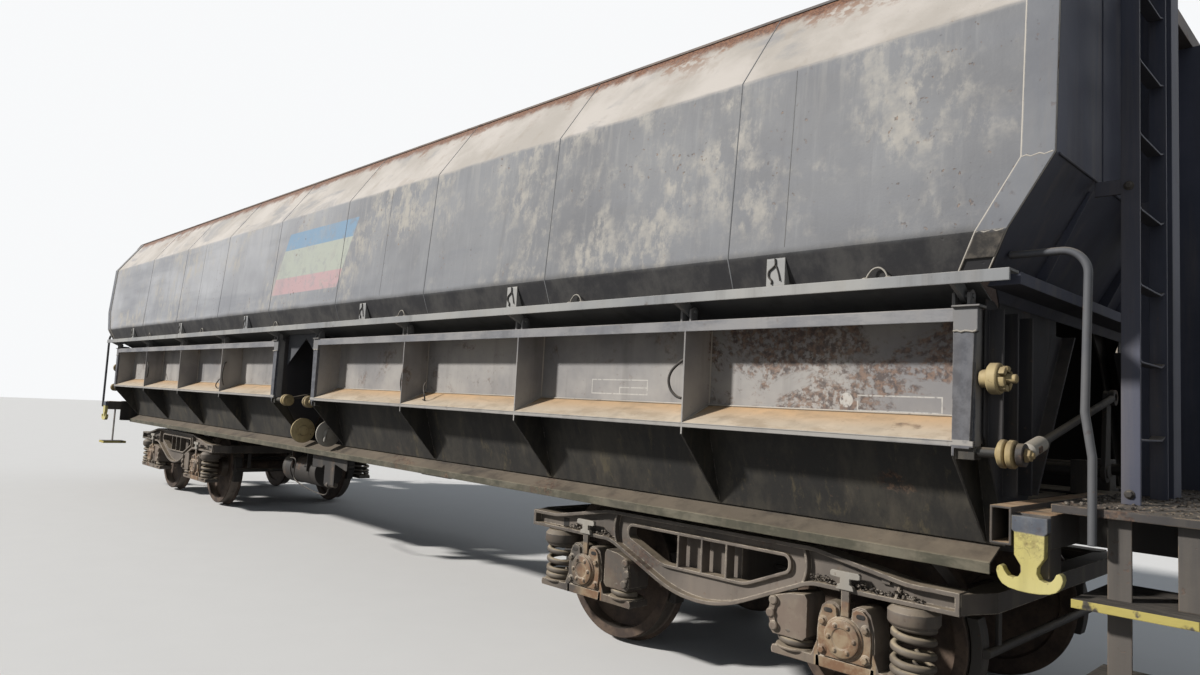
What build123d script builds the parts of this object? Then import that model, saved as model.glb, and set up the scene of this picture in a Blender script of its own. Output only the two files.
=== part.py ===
from build123d import *
import math
import os

# Open bogie hopper wagon with four side discharge doors.
# Built with x = 0 midway between the end walls, z = 0 on the rail top and y outward
# to the far side, then moved so that the origin is the bottom centre.

# Bogies
FRONT_PIVOT = 4600.0
REAR_PIVOT = -4400.0
WHEELBASE = 1800.0
WHEEL_R = 460.0              # tread radius
FLANGE_H = 28.0              # flange height outside the tread
WHEEL_BACK = 680.0           # back of the wheel from the centre line
RIM_W = 135.0
AXLE_R = 80.0
JOURNAL_R = 65.0
FRAME_Y = 1040.0             # middle plane of the bogie's side frame
FRAME_FLANGE = 120.0         # width of the side frame's flanges
FRAME_SKIN = 20.0
FRAME_WEB = 22.0
FRAME_END = 1430.0           # half the side frame's length
FRAME_TOP = 855.0
FRAME_END_TOP = 770.0
FRAME_FOOT = 670.0           # underside of the frame's level arms
FRAME_ARM_X = 700.0          # where the belly starts
BELLY_Z = 372.0              # where the belly's flanks would meet
WINDOW_TOP, WINDOW_LOW, WINDOW_SIDE = 778.0, 600.0, 712.0
WINDOW_X, WINDOW_LOW_X = 560.0, 290.0
WINDOW_RIM_T, WINDOW_RIM_W = 16.0, 70.0
WINDOW_RIB_X = (-170.0, 0.0, 170.0)
BEAD_X, BEAD_BOW = 650.0, 22.0
BEAD_Z = (662.0, 846.0)
TRANSOM_X = 210.0
TRANSOM_LOW, TRANSOM_TOP = 560.0, 800.0
END_BEAM_LOW, END_BEAM_TOP = 675.0, 765.0
END_BEAM_X0, END_BEAM_X1 = 1400.0, 1518.0
BOX_IN_Y, BOX_OUT_Y = 930.0, 1106.0
BOX_LOW, BOX_TOP = 335.0, 612.0
SPRING_X = 300.0             # spring from the axle
SPRING_Y = 1030.0
SPRING_R = 100.0
CAP_R = 118.0
WING_LOW, WING_TOP = 300.0, 340.0
CAP_LOW_INNER, CAP_LOW_OUTER = 400.0, 585.0
SHOE_Y = 757.0
SHOE_W = 84.0
BRAKE_HANGER_Y = 640.0

# Ends
FRONT_FACE = 6960.0          # buffer beam face beyond the platform
REAR_FACE = 6340.0
BUFFER_L = 620.0
CASING_L = 360.0
BUFFER_Y = 875.0
BUFFER_Z = 1060.0

# Body shell: outside of the side wall in (y, z)
TOP_Y, TOP_Z = 1171.0, 3599.0
BEND_Y, BEND_Z = 1488.0, 3145.0
CREASE_Y, CREASE_Z = 1554.0, 2241.0
FOOT_Y, FOOT_Z = 1497.0, 2090.0
WALL = 6.0                   # sheet thickness of walls, saddle and doors
END_X = 6530.0               # outside of the end wall
END_BEND_Z = 2510.0          # the end wall slopes inward below this height
END_SLOPE = 0.585            # inward run of the slope per unit of drop
STRAP_W = 115.0              # light strap along each end of the side wall
STRAP_T = 8.0

# Waist rail and the sheet that leads the load over the door
RAIL_H = 48.0
RAIL_T = 10.0
RAIL_X = 6380.0
FOOT_IN_Y, FOOT_IN_Z = 1240.0, 1985.0
GUSSET_W = 100.0
GUSSET_IN = 6.0              # gussets stand in from the crease
GUSSET_X = (5345.0, 3360.0, 1400.0, -1060.0, -3110.0, -5110.0)

# Discharge door
HINGE_Y, HINGE_Z = 1420.0, 2010.0
HINGE_PIN_R = 10.0
LUG_R = 25.0
LUG_T = 12.0
DOOR_END = 6214.0
DOOR_MID_FRONT = 354.0
DOOR_MID_REAR = 450.0
GAP_FRONT = DOOR_MID_FRONT - 12.0   # plates that close the chutes at the middle gap
GAP_REAR = DOOR_MID_REAR - 12.0
PANEL_Y = 1230.0             # outside of the upright door sheet
DOOR_OUT_Y = 1450.0          # outer edge of ribs, shelf and head
DOOR_TOP = 1960.0
SHELF_Z = 1430.0
DOOR_FOOT_Y, DOOR_FOOT_Z = 1100.0, 1000.0
HEAD_H = 55.0
RIB_T = 10.0
RIB_PITCH = 1405.0
STILE_W = 80.0
FIRST_RIB = DOOR_END - STILE_W + 2.0   # along the inner edge of the outer stile
STILE_OUT = 12.0             # the stile's head stands out past the door's end
STILE_STEP = 1865.0
STILE_FOOT = 1400.0
HINGE_END = 54.0             # end hinges from the door's ends
LUG_SPREAD = 60.0
PIN_Z = 1390.0               # pin of the door's link
PIN_R = 20.0
LINK_PIN_Y = 1405.0

# Saddle: the roof-shaped floor over the tunnel
SADDLE_FOOT_Y, SADDLE_FOOT_Z = 1080.0, 1000.0
SADDLE_BEND_Y, SADDLE_BEND_Z = 630.0, 1940.0
RIDGE_Z = 2550.0
SILL_IN_Y, SILL_IN_Z = 1070.0, 999.0
SILL_LIP_Y, SILL_LIP_Z = 1200.0, 936.0
SILL_T = 8.0
SILL_LIP_H = 45.0
SILL_X0, SILL_X1 = -6190.0, 6190.0
PLATE_TOP = 2000.0           # head of the plates that close the chutes
PLATE_OUT_Y = 1380.0
PLATE_LAP = 100.0            # the end plates reach in past the saddle
PLATE_RIB = 55.0
CROSS_RIDGE_Z = 2300.0
APRON_Y = 1340.0             # plate with the gable cut between the doors
APRON_APEX_Z = 1985.0
APRON_SLOPE = 0.66

# Underframe
SILL_BOTTOM, SILL_TOP = 950.0, 1178.0
SILL_WEB_Y = 160.0
SILL_FLANGE_Y = 250.0
SILL_SKIN = 12.0
BOLSTER_W = 350.0
PIVOT_R = 140.0
PIVOT_BOTTOM = 880.0
HEADSTOCK_BOTTOM, HEADSTOCK_TOP = 905.0, 1190.0
HEADSTOCK_Y = 1300.0
FLOOR_TOP = 1220.0
FLOOR_X0 = 6480.0
FLOOR_Y = 1400.0
POST_Y, POST_W, POST_D = 400.0, 140.0, 150.0
TOP_RAIL_H, TOP_RAIL_D = 65.0, 90.0

# Ladder
LADDER_Y0, LADDER_Y1 = -1050.0, -610.0
LADDER_X0, LADDER_X1 = 6622.0, 6687.0
LADDER_T = 12.0
LADDER_TOP = TOP_Z + 101.0
RUNG_Z, RUNG_PITCH, RUNG_T = 1480.0, 305.0, 7.0
RUNG_DISH = 16.0             # the rungs' middle lies lower than their ends
LADDER_BRACKET_Z = (2440.0, 3400.0)

# Guard rail, steps and hangers
GUARD_R = 19.0
GUARD_IN_Y, GUARD_OUT_Y = 330.0, 1180.0
GUARD_MID_Z, GUARD_TOP_Z = 1700.0, 2200.0
STEP_T = 30.0
STEP_OUT_Y = 1480.0
BOARD_IN_Y, BOARD_X0, BOARD_X1 = 960.0, FRONT_FACE - 390.0, FRONT_FACE - 20.0
FOOT_STEP_Z, FOOT_STEP_IN_Y = 640.0, 1200.0
REAR_STEP_Z, REAR_STEP_IN_Y = 590.0, 1180.0
HANGER_Y, HANGER_T = 1346.0, 8.0
HANGER_X = (FRONT_FACE - 310.0, FRONT_FACE - 235.0)
SHORT_HANGER_X = (FRONT_FACE - 100.0, FRONT_FACE - 35.0)
REAR_HANGER_X = (-REAR_FACE - 125.0, -REAR_FACE - 60.0)

# Hand rails at the corners
HAND_R = 15.0
HAND_Y, HAND_TOP, HAND_LOW = 1420.0, 2160.0, 1090.0
HAND_X, HAND_KINK = 6608.0, 12.0
REAR_HAND_Y, REAR_HAND_X = 1470.0, 6630.0

# Towing hooks
HOOK_BEAM_X0, HOOK_BEAM_X1 = 6300.0, 6376.0
HOOK_BEAM_LOW, HOOK_BEAM_TOP, HOOK_BEAM_T = 1060.0, 1200.0, 8.0
HOOK_X, REAR_HOOK_X = 6438.0, -6405.0
HOOK_FACE_Y, HOOK_T = 1500.0, 38.0
HOOK_BLOCK_Y, HOOK_BLOCK_TOP = 1130.0, 1180.0
HOOK_HALF = 61.0

# Brake reservoir and brake cylinder
TANK_Y, TANK_Z, TANK_R = 840.0, 675.0, 150.0
TANK_X0, TANK_X1 = -1150.0, -400.0
TANK_RING = 190.0            # wide band at the reservoir's rear end
CYLINDER_X0, CYLINDER_X1, CYLINDER_R = -1250.0, -700.0, 140.0

# Hand brake
COLUMN_X0, COLUMN_X1, COLUMN_Y, COLUMN_HALF, COLUMN_TOP = 6700.0, 6780.0, 330.0, 40.0, 2120.0
HAND_WHEEL_X, HAND_WHEEL_Z, HAND_WHEEL_R = 6830.0, 2050.0, 190.0
SPINDLE_R = 12.0

# Crank shafts and links
SHAFT_Y, SHAFT_Z, SHAFT_R = 200.0, 1300.0, 30.0
CRANK_R = 360.0
CRANK_PIN_Y = 180.0
LINK_T = 24.0
PIN_REACH = 190.0            # link pins out past the door's ends
LINK_X = DOOR_END + PIN_REACH - LINK_T
LINK_MID_FRONT, LINK_MID_REAR = DOOR_MID_FRONT - 154.0, DOOR_MID_REAR - 160.0
BEARING_X = (-6250.0, -4250.0, -2000.0, 600.0, 2000.0, 4250.0, 6250.0)
RUN_GAP = 0.5                # clearance of a pin in its eye
SEAT = 0.3                   # gap under a piece that rests on another

PIVOTS = {"front": FRONT_PIVOT, "rear": REAR_PIVOT}
SHIFT_X = -(FRONT_FACE - REAR_FACE) / 2
SHIFT = Pos(SHIFT_X, 0, FLANGE_H)
os.makedirs("parts", exist_ok=True)


def save(node, solids):
    """Write one node, moved into the part's frame."""
    export_step(Compound(children=[SHIFT * s for s in solids]), f"parts/{node}.step")


def block(x0, x1, y0, y1, z0, z1):
    """Block between two corners."""
    size = Box(abs(x1 - x0), abs(y1 - y0), abs(z1 - z0))
    return Pos((x0 + x1) / 2, (y0 + y1) / 2, (z0 + z1) / 2) * size


def prism(points, run):
    """Solid swept from a closed flat outline along a straight run."""
    run = Vector(*run)
    return extrude(make_face(Polyline(*points, close=True)), amount=run.length, dir=run)


def along_x(outline, x0, x1):
    """Outline of (y, z) points swept from x0 to x1."""
    return prism([(x0, y, z) for y, z in outline], (x1 - x0, 0, 0))


def along_y(outline, y0, y1):
    """Outline of (x, z) points swept from y0 to y1."""
    return prism([(x, y0, z) for x, z in outline], (0, y1 - y0, 0))


def along_z(outline, z0, z1):
    """Outline of (x, y) points swept from z0 to z1."""
    return prism([(x, y, z0) for x, y in outline], (0, 0, z1 - z0))


def rod(start, end, radius):
    """Round bar between two points."""
    line = Line(start, end)
    plane = Plane(origin=line @ 0, z_dir=line % 0)
    return extrude(plane * Circle(radius), amount=line.length)


def rounded(corners):
    """Flat face in (x, z) from (x, z, radius) corners, laid at y = 0."""
    points = [(x, 0, z) for x, z, radius in corners]
    return make_face(FilletPolyline(*points, radius=[c[2] for c in corners], close=True))


def slab(face, y, width):
    """Face at y = 0 thickened to both sides of a plane y."""
    return Pos(0, y, 0) * extrude(face, amount=width / 2, both=True)


def both_sides(solids):
    """The far side's solids and their mirror images on the near side."""
    return solids + [mirror(s, about=Plane.XZ) for s in solids]


def near(solids):
    """Mirror images on the near side."""
    return [mirror(s, about=Plane.XZ) for s in solids]


def both_ends(solids):
    """The front's solids and their mirror images at the rear."""
    return solids + [mirror(s, about=Plane.YZ) for s in solids]


def strips(line, thickness):
    """Outlines of the flats of a bent sheet, mitred at its bends."""
    line = [Vector(*p) for p in line]
    normals = []
    for a, b in zip(line, line[1:]):
        step = (b - a).normalized()
        normals.append(Vector(-step.Y, step.X) * thickness)
    inner = [line[0] + normals[0]]
    for p, n, m in zip(line[1:], normals, normals[1:]):
        inner.append(p + (n + m) * (thickness ** 2 / (thickness ** 2 + n.dot(m))))
    inner.append(line[-1] + normals[-1])
    outlines = []
    for a, b, c, d in zip(line, line[1:], inner[1:], inner):
        outlines.append([(v.X, v.Y) for v in (a, b, c, d)])
    return outlines


def between(a, b, share):
    """Point on the line from a to b."""
    return tuple(p + (q - p) * share for p, q in zip(a, b))


def end_x(z):
    """Outside of the end wall at a height."""
    return END_X - END_SLOPE * max(0.0, END_BEND_Z - z)


def saddle_y(z):
    """Outside of the saddle's steep flank at a height."""
    share = (z - SADDLE_FOOT_Z) / (SADDLE_BEND_Z - SADDLE_FOOT_Z)
    return SADDLE_FOOT_Y + (SADDLE_BEND_Y - SADDLE_FOOT_Y) * share


WALL_LINE = [(FOOT_Y, FOOT_Z), (CREASE_Y, CREASE_Z), (BEND_Y, BEND_Z), (TOP_Y, TOP_Z)]
SADDLE_LINE = [(SADDLE_FOOT_Y, SADDLE_FOOT_Z), (SADDLE_BEND_Y, SADDLE_BEND_Z), (0.0, RIDGE_Z)]
SADDLE_TILT = math.atan2(SADDLE_BEND_Z - SADDLE_FOOT_Z, SADDLE_FOOT_Y - SADDLE_BEND_Y)


def length_outline(inset, bottom):
    """Wagon's length seen from the side, cut by the end slopes."""
    top_x, low_x = END_X - inset, end_x(bottom) - inset
    high = TOP_Z + 100
    right = [(low_x, bottom), (top_x, END_BEND_Z), (top_x, high)]
    return right + [(-x, z) for x, z in reversed(right)]


def side_wall():
    """Skirt, main panel and top bevel of the far side wall."""
    cut = along_y(length_outline(0.0, FOOT_Z - 1), 0, 2000)
    flats = [along_x(o, -END_X, END_X) for o in strips(WALL_LINE, WALL)]
    return [flat & cut for flat in flats]


def end_wall():
    """Upright and sloping panel of the front end wall, between the side walls."""
    inside = []
    for outline in strips(WALL_LINE, WALL):
        inside += outline[2:4][::-1]
    crease_y = between((BEND_Y, BEND_Z), (CREASE_Y, CREASE_Z),
                       (BEND_Z - END_BEND_Z) / (BEND_Z - CREASE_Z))[0] - WALL - 2
    corner = (inside[-2][0] - 2, inside[-2][1])
    upper = [(0, END_BEND_Z), (crease_y, END_BEND_Z), corner, (TOP_Y - WALL - 3, TOP_Z), (0, TOP_Z)]
    upper += [(-y, z) for y, z in upper[1:-1][::-1]]
    panel = along_x([p for p in upper if p != (0, END_BEND_Z)], END_X - WALL, END_X)
    low = FOOT_Z + WALL
    edge = [(crease_y, END_BEND_Z), (inside[1][0] - 2, CREASE_Z), (inside[0][0] - 8, low),
            (FOOT_Y - 45, low), (FOOT_IN_Y, PLATE_TOP)]
    lower = edge + [(-y, z) for y, z in reversed(edge)]
    face = [(end_x(z), y, z) for y, z in lower]
    tilt = math.hypot(1.0, END_SLOPE)
    slope = prism(face, (-WALL / tilt, 0, -WALL * END_SLOPE / tilt))
    return [panel, slope & block(0, END_X, -2000, 2000, PLATE_TOP, END_BEND_Z)]


def straps():
    """Light straps along both ends of the far side wall."""
    outside = strips(WALL_LINE, -STRAP_T)
    shell = [along_x(o, -END_X, END_X) for o in outside]
    low = CREASE_Z - 100
    high = BEND_Z + 5
    outer = [(end_x(low), low), (END_X, END_BEND_Z), (END_X, high)]
    outline = outer + [(x - STRAP_W, z) for x, z in reversed(outer)]
    tool = along_y(outline, 0, 2000)
    top = block(END_X - STRAP_W, END_X, 0, 2000, BEND_Z, TOP_Z)
    return both_ends([shell[0] & tool, shell[1] & tool, shell[2] & top])


def top_rails():
    """Chord along each side's top edge and the rail across each end."""
    chord = block(-END_X, END_X, TOP_Y - 50, TOP_Y + 6, TOP_Z, TOP_Z + 14)
    rail_y = between((BEND_Y, BEND_Z), (TOP_Y, TOP_Z), 0.85)[0]
    low, high = TOP_Z - TOP_RAIL_H, TOP_Z + 14
    rail = along_x([(-rail_y, low), (rail_y, low), (TOP_Y, high), (-TOP_Y, high)],
                   END_X, END_X + TOP_RAIL_D)
    return both_sides([chord]) + both_ends([rail])


def saddle():
    """Two steep flanks and two upper slopes of the roof-shaped floor."""
    cut = along_y(length_outline(WALL + 1, SADDLE_BEND_Z - 40), -2000, 2000)
    steep, upper = strips(SADDLE_LINE, WALL)
    end = end_x(PLATE_TOP) - WALL - SEAT
    flanks = [along_x(steep, GAP_FRONT, end), along_x(steep, -end, -GAP_REAR)]
    return both_sides(flanks + [along_x(upper, -END_X, END_X) & cut])


def middle_ridge():
    """Cross ridge that sheds the load away from the gap between the doors."""
    mid = (GAP_FRONT - GAP_REAR) / 2
    half = (GAP_FRONT + GAP_REAR) / 2
    line = [(mid + half, PLATE_TOP), (mid, CROSS_RIDGE_Z), (mid - half, PLATE_TOP)]
    body = [along_y(o, 0, FOOT_IN_Y - 8) for o in strips(line, WALL)]
    under = [(0, 0), (saddle_y(PLATE_TOP) + 400, 0), (SADDLE_BEND_Y, SADDLE_BEND_Z), (0, RIDGE_Z)]
    roof = along_x(under, -1000, 1000) + block(-1000, 1000, -10, 2000, 0, PLATE_TOP)
    return [flat - roof for flat in body]


def apron():
    """Upright plate between the doors under the waist rail, with its gable cut."""
    mid = (GAP_FRONT - GAP_REAR) / 2
    x0, x1 = WALL + SEAT - GAP_REAR, GAP_FRONT - WALL - SEAT
    rise = (FOOT_Z - FOOT_IN_Z) / (FOOT_Y - 40 - FOOT_IN_Y)
    top = FOOT_IN_Z + rise * (APRON_Y - FOOT_IN_Y) - WALL * math.hypot(1, rise) - SEAT
    foot = APRON_APEX_Z - APRON_SLOPE * (x1 - mid)
    return along_y([(x0, foot), (x0, top), (x1, top), (x1, foot), (mid, APRON_APEX_Z)],
                   APRON_Y, APRON_Y + WALL)


def chute_plate(x0, x1, lap=-1.0):
    """Upright plate that closes a chute between saddle and door."""
    low, bend = SADDLE_FOOT_Z + 6, SADDLE_BEND_Z - 6
    outline = [(PLATE_OUT_Y, PLATE_TOP), (PLATE_OUT_Y, 1450), (1112, low), (saddle_y(low) - lap, low),
               (saddle_y(bend) - lap, bend), (saddle_y(bend) - lap, PLATE_TOP)]
    lead = along_x([(FOOT_IN_Y - 2, 1970), (FOOT_Y, 2095), (FOOT_IN_Y - 2, 2095)], x0, x1)
    return along_x(outline, x0, x1) - lead


def chute_plates():
    """End plates with their upright ribs, and the pair at the middle gap."""
    face = end_x(PLATE_TOP)
    plates = []
    for side in (1, -1):
        plate = chute_plate(side * (face - WALL), side * face, PLATE_LAP)
        for y, low in ((1340, 1400), (1180, 1210), (1010, 1210)):
            plate += block(side * face, side * (face + PLATE_RIB), y - 6, y + 6, low, DOOR_TOP)
        plates.append(plate)
    plates.append(chute_plate(GAP_FRONT - WALL, GAP_FRONT))
    plates.append(chute_plate(-GAP_REAR, -GAP_REAR + WALL))
    return plates


def waist_rail():
    """Angle under the side wall with the sheet that leads to the door's head."""
    outline = [(CREASE_Y, FOOT_Z), (CREASE_Y, FOOT_Z - RAIL_H), (CREASE_Y - RAIL_T, FOOT_Z - RAIL_H),
               (CREASE_Y - RAIL_T, FOOT_Z - RAIL_T), (FOOT_Y - 40, FOOT_Z - RAIL_T),
               (FOOT_Y - 40, FOOT_Z)]
    rail = along_x(outline, -RAIL_X, RAIL_X)
    lead = strips([(FOOT_Y - 40, FOOT_Z), (FOOT_IN_Y, FOOT_IN_Z)], WALL)[0]
    end = end_x(PLATE_TOP) - WALL - 8
    return [rail, along_x(lead, -end, end)]


def end_beam():
    """Beam across the front under the sloping end panel."""
    low = FOOT_Z - RAIL_H
    y = CREASE_Y - RAIL_T
    outline = [(end_x(FOOT_Z), FOOT_Z), (RAIL_X, FOOT_Z), (RAIL_X, low), (end_x(low), low)]
    beam = along_y(outline, -(FOOT_Y - 60), FOOT_Y - 60)
    return [beam]


def gussets():
    """Upright gussets on the waist rail under the crease."""
    skirt = between((CREASE_Y, CREASE_Z), (FOOT_Y, FOOT_Z), GUSSET_IN / (CREASE_Y - FOOT_Y))
    outline = [(CREASE_Y - GUSSET_IN, FOOT_Z), (skirt[0], skirt[1] - 4), (FOOT_Y + 2, FOOT_Z)]
    return [along_x(outline, x - GUSSET_W / 2, x + GUSSET_W / 2) for x in GUSSET_X]


def chute_sill():
    """Sloping sill with its lip below the doors."""
    line = [(SILL_IN_Y, SILL_IN_Z), (SILL_LIP_Y, SILL_LIP_Z), (SILL_LIP_Y, SILL_LIP_Z - SILL_LIP_H)]
    flats = strips(line, -SILL_T)
    return [along_x(o, SILL_X0, SILL_X1) for o in flats]


def centre_sill():
    """Pair of channels with a cover plate, and the two pivot plates."""
    b, t, s = SILL_BOTTOM, SILL_TOP, SILL_SKIN
    w, f = SILL_WEB_Y, SILL_FLANGE_Y
    channel = [(w, b), (f, b), (f, b + s), (w + s, b + s), (w + s, t - s), (f, t - s), (f, t), (w, t)]
    x0, x1 = -(REAR_FACE - SILL_SKIN), FRONT_FACE - SILL_SKIN
    beams = both_sides([along_x(channel, x0, x1)])
    beams.append(block(x0, x1, -w - 20, w + 20, t, t + s))
    for x in PIVOTS.values():
        plate = block(x - 250, x + 250, -f, f, b - s, b)
        plate += Pos(x, 0, (PIVOT_BOTTOM + b - s) / 2) * Cylinder(PIVOT_R, b - s - PIVOT_BOTTOM)
        beams.append(plate)
    return beams


def cross_bearer(x, width):
    """Tapered arm from the centre sill out to the far saddle flank."""
    gap = WALL / math.sin(SADDLE_TILT) + SEAT
    top, low = SILL_TOP, SADDLE_FOOT_Z + 22
    outline = [(SILL_FLANGE_Y, SILL_BOTTOM), (SILL_FLANGE_Y, top), (saddle_y(top) - gap, top),
               (saddle_y(low) - gap, low), (saddle_y(low) - gap, low - 30), (900, SILL_BOTTOM)]
    return along_x(outline, x - width / 2, x + width / 2)


BEARER_X = (-6150.0, REAR_PIVOT, -2250.0, -48.0, 2250.0, FRONT_PIVOT, 6150.0)


def cross_bearers():
    """Bolster arms at the pivots and lighter arms between them."""
    arms = []
    for x in BEARER_X:
        arms.append(cross_bearer(x, BOLSTER_W if x in PIVOTS.values() else 90.0))
    return arms


def saddle_frame(x):
    """Roof-shaped frame that carries the saddle on a pair of arms."""
    gap = WALL / math.sin(SADDLE_TILT) + SEAT
    rise = SILL_TOP + SEAT
    slope = math.atan2(RIDGE_Z - SADDLE_BEND_Z, SADDLE_BEND_Y)
    outer = [(saddle_y(rise) - gap, rise), strips(SADDLE_LINE, WALL + SEAT)[0][2],
             (0, RIDGE_Z - (WALL + SEAT) / math.cos(slope))]
    leg = 130.0
    inner = [(saddle_y(rise) - leg - gap, rise), (SADDLE_BEND_Y - leg, SADDLE_BEND_Z - leg / 2),
             (0, RIDGE_Z - 1.6 * leg)]
    loop = outer + [(-y, z) for y, z in reversed(outer[:-1])]
    loop += [(-y, z) for y, z in inner[:-1]] + [(y, z) for y, z in reversed(inner)]
    return along_x(loop, x - 5, x + 5)


def headstocks():
    """Buffer beams: channels open toward the wagon."""
    def channel(face, inward):
        back = face + inward * 100
        web = face + inward * SILL_SKIN
        b, t, s = HEADSTOCK_BOTTOM, HEADSTOCK_TOP, SILL_SKIN
        profile = [(face, b), (back, b), (back, b + s), (web, b + s), (web, t - s), (back, t - s),
                   (back, t), (face, t)]
        return along_y(profile, -HEADSTOCK_Y, HEADSTOCK_Y)
    front, rear = channel(FRONT_FACE, -1), channel(-REAR_FACE, 1)
    window = block(-FRONT_FACE, FRONT_FACE, -SILL_FLANGE_Y - 1, SILL_FLANGE_Y + 1,
                   SILL_BOTTOM - 1, SILL_TOP + SILL_SKIN + 1)
    keep = block(-REAR_FACE, -REAR_FACE + SILL_SKIN, -2000, 2000, 0, 2000)
    keep += block(FRONT_FACE - SILL_SKIN, FRONT_FACE, -2000, 2000, 0, 2000)
    window -= keep
    beams = [front - window, rear - window]
    for y in (-BUFFER_Y, BUFFER_Y):
        beams.append(block(6400, FRONT_FACE - 100, y - 60, y + 60, 1030, HEADSTOCK_TOP))
    return beams


def end_posts():
    """Two upright posts at each end."""
    top = TOP_Z - TOP_RAIL_H
    half = POST_W / 2
    back = -END_X - TOP_RAIL_D
    posts = []
    for y in (-POST_Y, POST_Y):
        posts.append(block(END_X, END_X + POST_D, y - half, y + half, FLOOR_TOP, top))
        leg = [(-END_X, top), (back, top), (back, 2300), (-REAR_FACE - 150, 1450),
               (-REAR_FACE - 90, 1000), (-REAR_FACE, 1000), (-REAR_FACE, HEADSTOCK_TOP),
               (-REAR_FACE - 72, 1450), (-END_X, 2200)]
        posts.append(along_y(leg, y - half, y + half))
    return posts


def platform_floor():
    """Floor of the end platform on the buffer beam."""
    return [block(FLOOR_X0, FRONT_FACE, -FLOOR_Y, FLOOR_Y, HEADSTOCK_TOP, FLOOR_TOP)]


def platform_rail():
    """Far half of the guard rail at the platform's outer edge."""
    x = FRONT_FACE - 30
    y0, y1, top = GUARD_IN_Y, GUARD_OUT_Y, GUARD_TOP_Z
    frame = FilletPolyline((x, y0, FLOOR_TOP), (x, y0, top), (x, y1, top), (x, y1, FLOOR_TOP), radius=80)
    half = sweep(Plane(origin=frame @ 0, z_dir=frame % 0) * Circle(GUARD_R), path=frame)
    return half + rod((x, y0, GUARD_MID_Z), (x, y1, GUARD_MID_Z), GUARD_R)


def ladder():
    """Flat-bar ladder with dished rungs on the near side of the front end."""
    y0, y1, t = LADDER_Y0, LADDER_Y1, LADDER_T / 2
    pieces = [block(LADDER_X0, LADDER_X1, y - t, y + t, FLOOR_TOP, LADDER_TOP) for y in (y0, y1)]
    for k in range(int((LADDER_TOP - 50 - RUNG_Z) / RUNG_PITCH) + 1):
        z = RUNG_Z + RUNG_PITCH * k
        dish = [(y0 + t, z + RUNG_DISH / 2), (y0 + 60, z - RUNG_DISH / 2), (y1 - 60, z - RUNG_DISH / 2),
                (y1 - t, z + RUNG_DISH / 2)]
        outline = dish + [(y, high - RUNG_T) for y, high in reversed(dish)]
        pieces.append(along_x(outline, LADDER_X0 + 8, LADDER_X1 - 8))
    for z in LADDER_BRACKET_Z:
        for y in (y0, y1):
            pieces.append(block(END_X, LADDER_X0, y - t, y + t, z, z + 60))
    return pieces


def handrail(sign):
    """Bent pipe at a body corner: sign is +1 at the front and -1 at the rear."""
    seat = end_x(HAND_TOP + HAND_R) + SEAT
    if sign > 0:
        y = HAND_Y
        path = [(seat, y, HAND_TOP), (HAND_X, y, HAND_TOP), (HAND_X - HAND_KINK, y, 1560),
                (HAND_X + HAND_KINK, y, 1400), (HAND_X + HAND_KINK, y, HAND_LOW)]
    else:
        y = REAR_HAND_Y
        path = [(-seat, y, HAND_TOP), (-REAR_HAND_X, y, HAND_TOP), (-REAR_HAND_X, y, HAND_LOW)]
    wire = FilletPolyline(*path, radius=[90] + [60] * (len(path) - 3))
    return sweep(Plane(origin=wire @ 0, z_dir=wire % 0) * Circle(HAND_R), path=wire)


def step_boards():
    """Wooden board under the platform and the lower steps at the four corners."""
    top = HEADSTOCK_BOTTOM - SEAT
    x0, x1 = BOARD_X0, BOARD_X1
    board = along_z([(x0, BOARD_IN_Y), (x0, STEP_OUT_Y), (x1, STEP_OUT_Y), (x1, BOARD_IN_Y + 60),
                     (x1 - 60, BOARD_IN_Y)], top - STEP_T, top)
    slot = HANGER_T / 2 + 1
    board -= block(HANGER_X[0] - 1, HANGER_X[1] + 1, HANGER_Y - slot, HANGER_Y + slot, 0, top + 1)
    front = block(HANGER_X[0] - 50, HANGER_X[1] + 175, FOOT_STEP_IN_Y, STEP_OUT_Y,
                  FOOT_STEP_Z - STEP_T, FOOT_STEP_Z)
    rear = block(REAR_HANGER_X[0] - 135, REAR_HANGER_X[1] + 55, REAR_STEP_IN_Y, STEP_OUT_Y,
                 REAR_STEP_Z - STEP_T, REAR_STEP_Z)
    return both_sides([board, front, rear])


def step_hangers():
    """Flat hangers of the step boards."""
    y0, y1 = HANGER_Y - HANGER_T / 2, HANGER_Y + HANGER_T / 2
    hangers = [block(*HANGER_X, y0, y1, FOOT_STEP_Z + SEAT, HEADSTOCK_TOP),
               block(*SHORT_HANGER_X, y0, y1, HEADSTOCK_BOTTOM, HEADSTOCK_TOP),
               block(*REAR_HANGER_X, y0, y1, REAR_STEP_Z + SEAT, HOOK_BEAM_LOW)]
    return both_sides(hangers)


def hook_beams():
    """Beams and blocks that carry the towing hooks at the corners."""
    x0, x1, t = HOOK_BEAM_X0, HOOK_BEAM_X1, HOOK_BEAM_T
    low, high = HOOK_BEAM_LOW, HOOK_BEAM_TOP
    beam = block(x0, x1, SILL_FLANGE_Y, HOOK_FACE_Y, low, high)
    beam -= block(x0 + t, x1 - t, SILL_FLANGE_Y, HOOK_FACE_Y + 1, low + t, high - t)
    back = HOOK_FACE_Y - HOOK_T - SEAT
    seat = block(x1, HOOK_X + HOOK_HALF, HOOK_BLOCK_Y, back, low, HOOK_BLOCK_TOP)
    seat += block(HOOK_X - 42, HOOK_X + HOOK_HALF - 5, 1330, back, 955, low)
    rear = block(REAR_HOOK_X - HOOK_HALF, -REAR_FACE, HOOK_BLOCK_Y, back, low, HOOK_BLOCK_TOP)
    return both_sides([beam, seat, rear])


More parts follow.
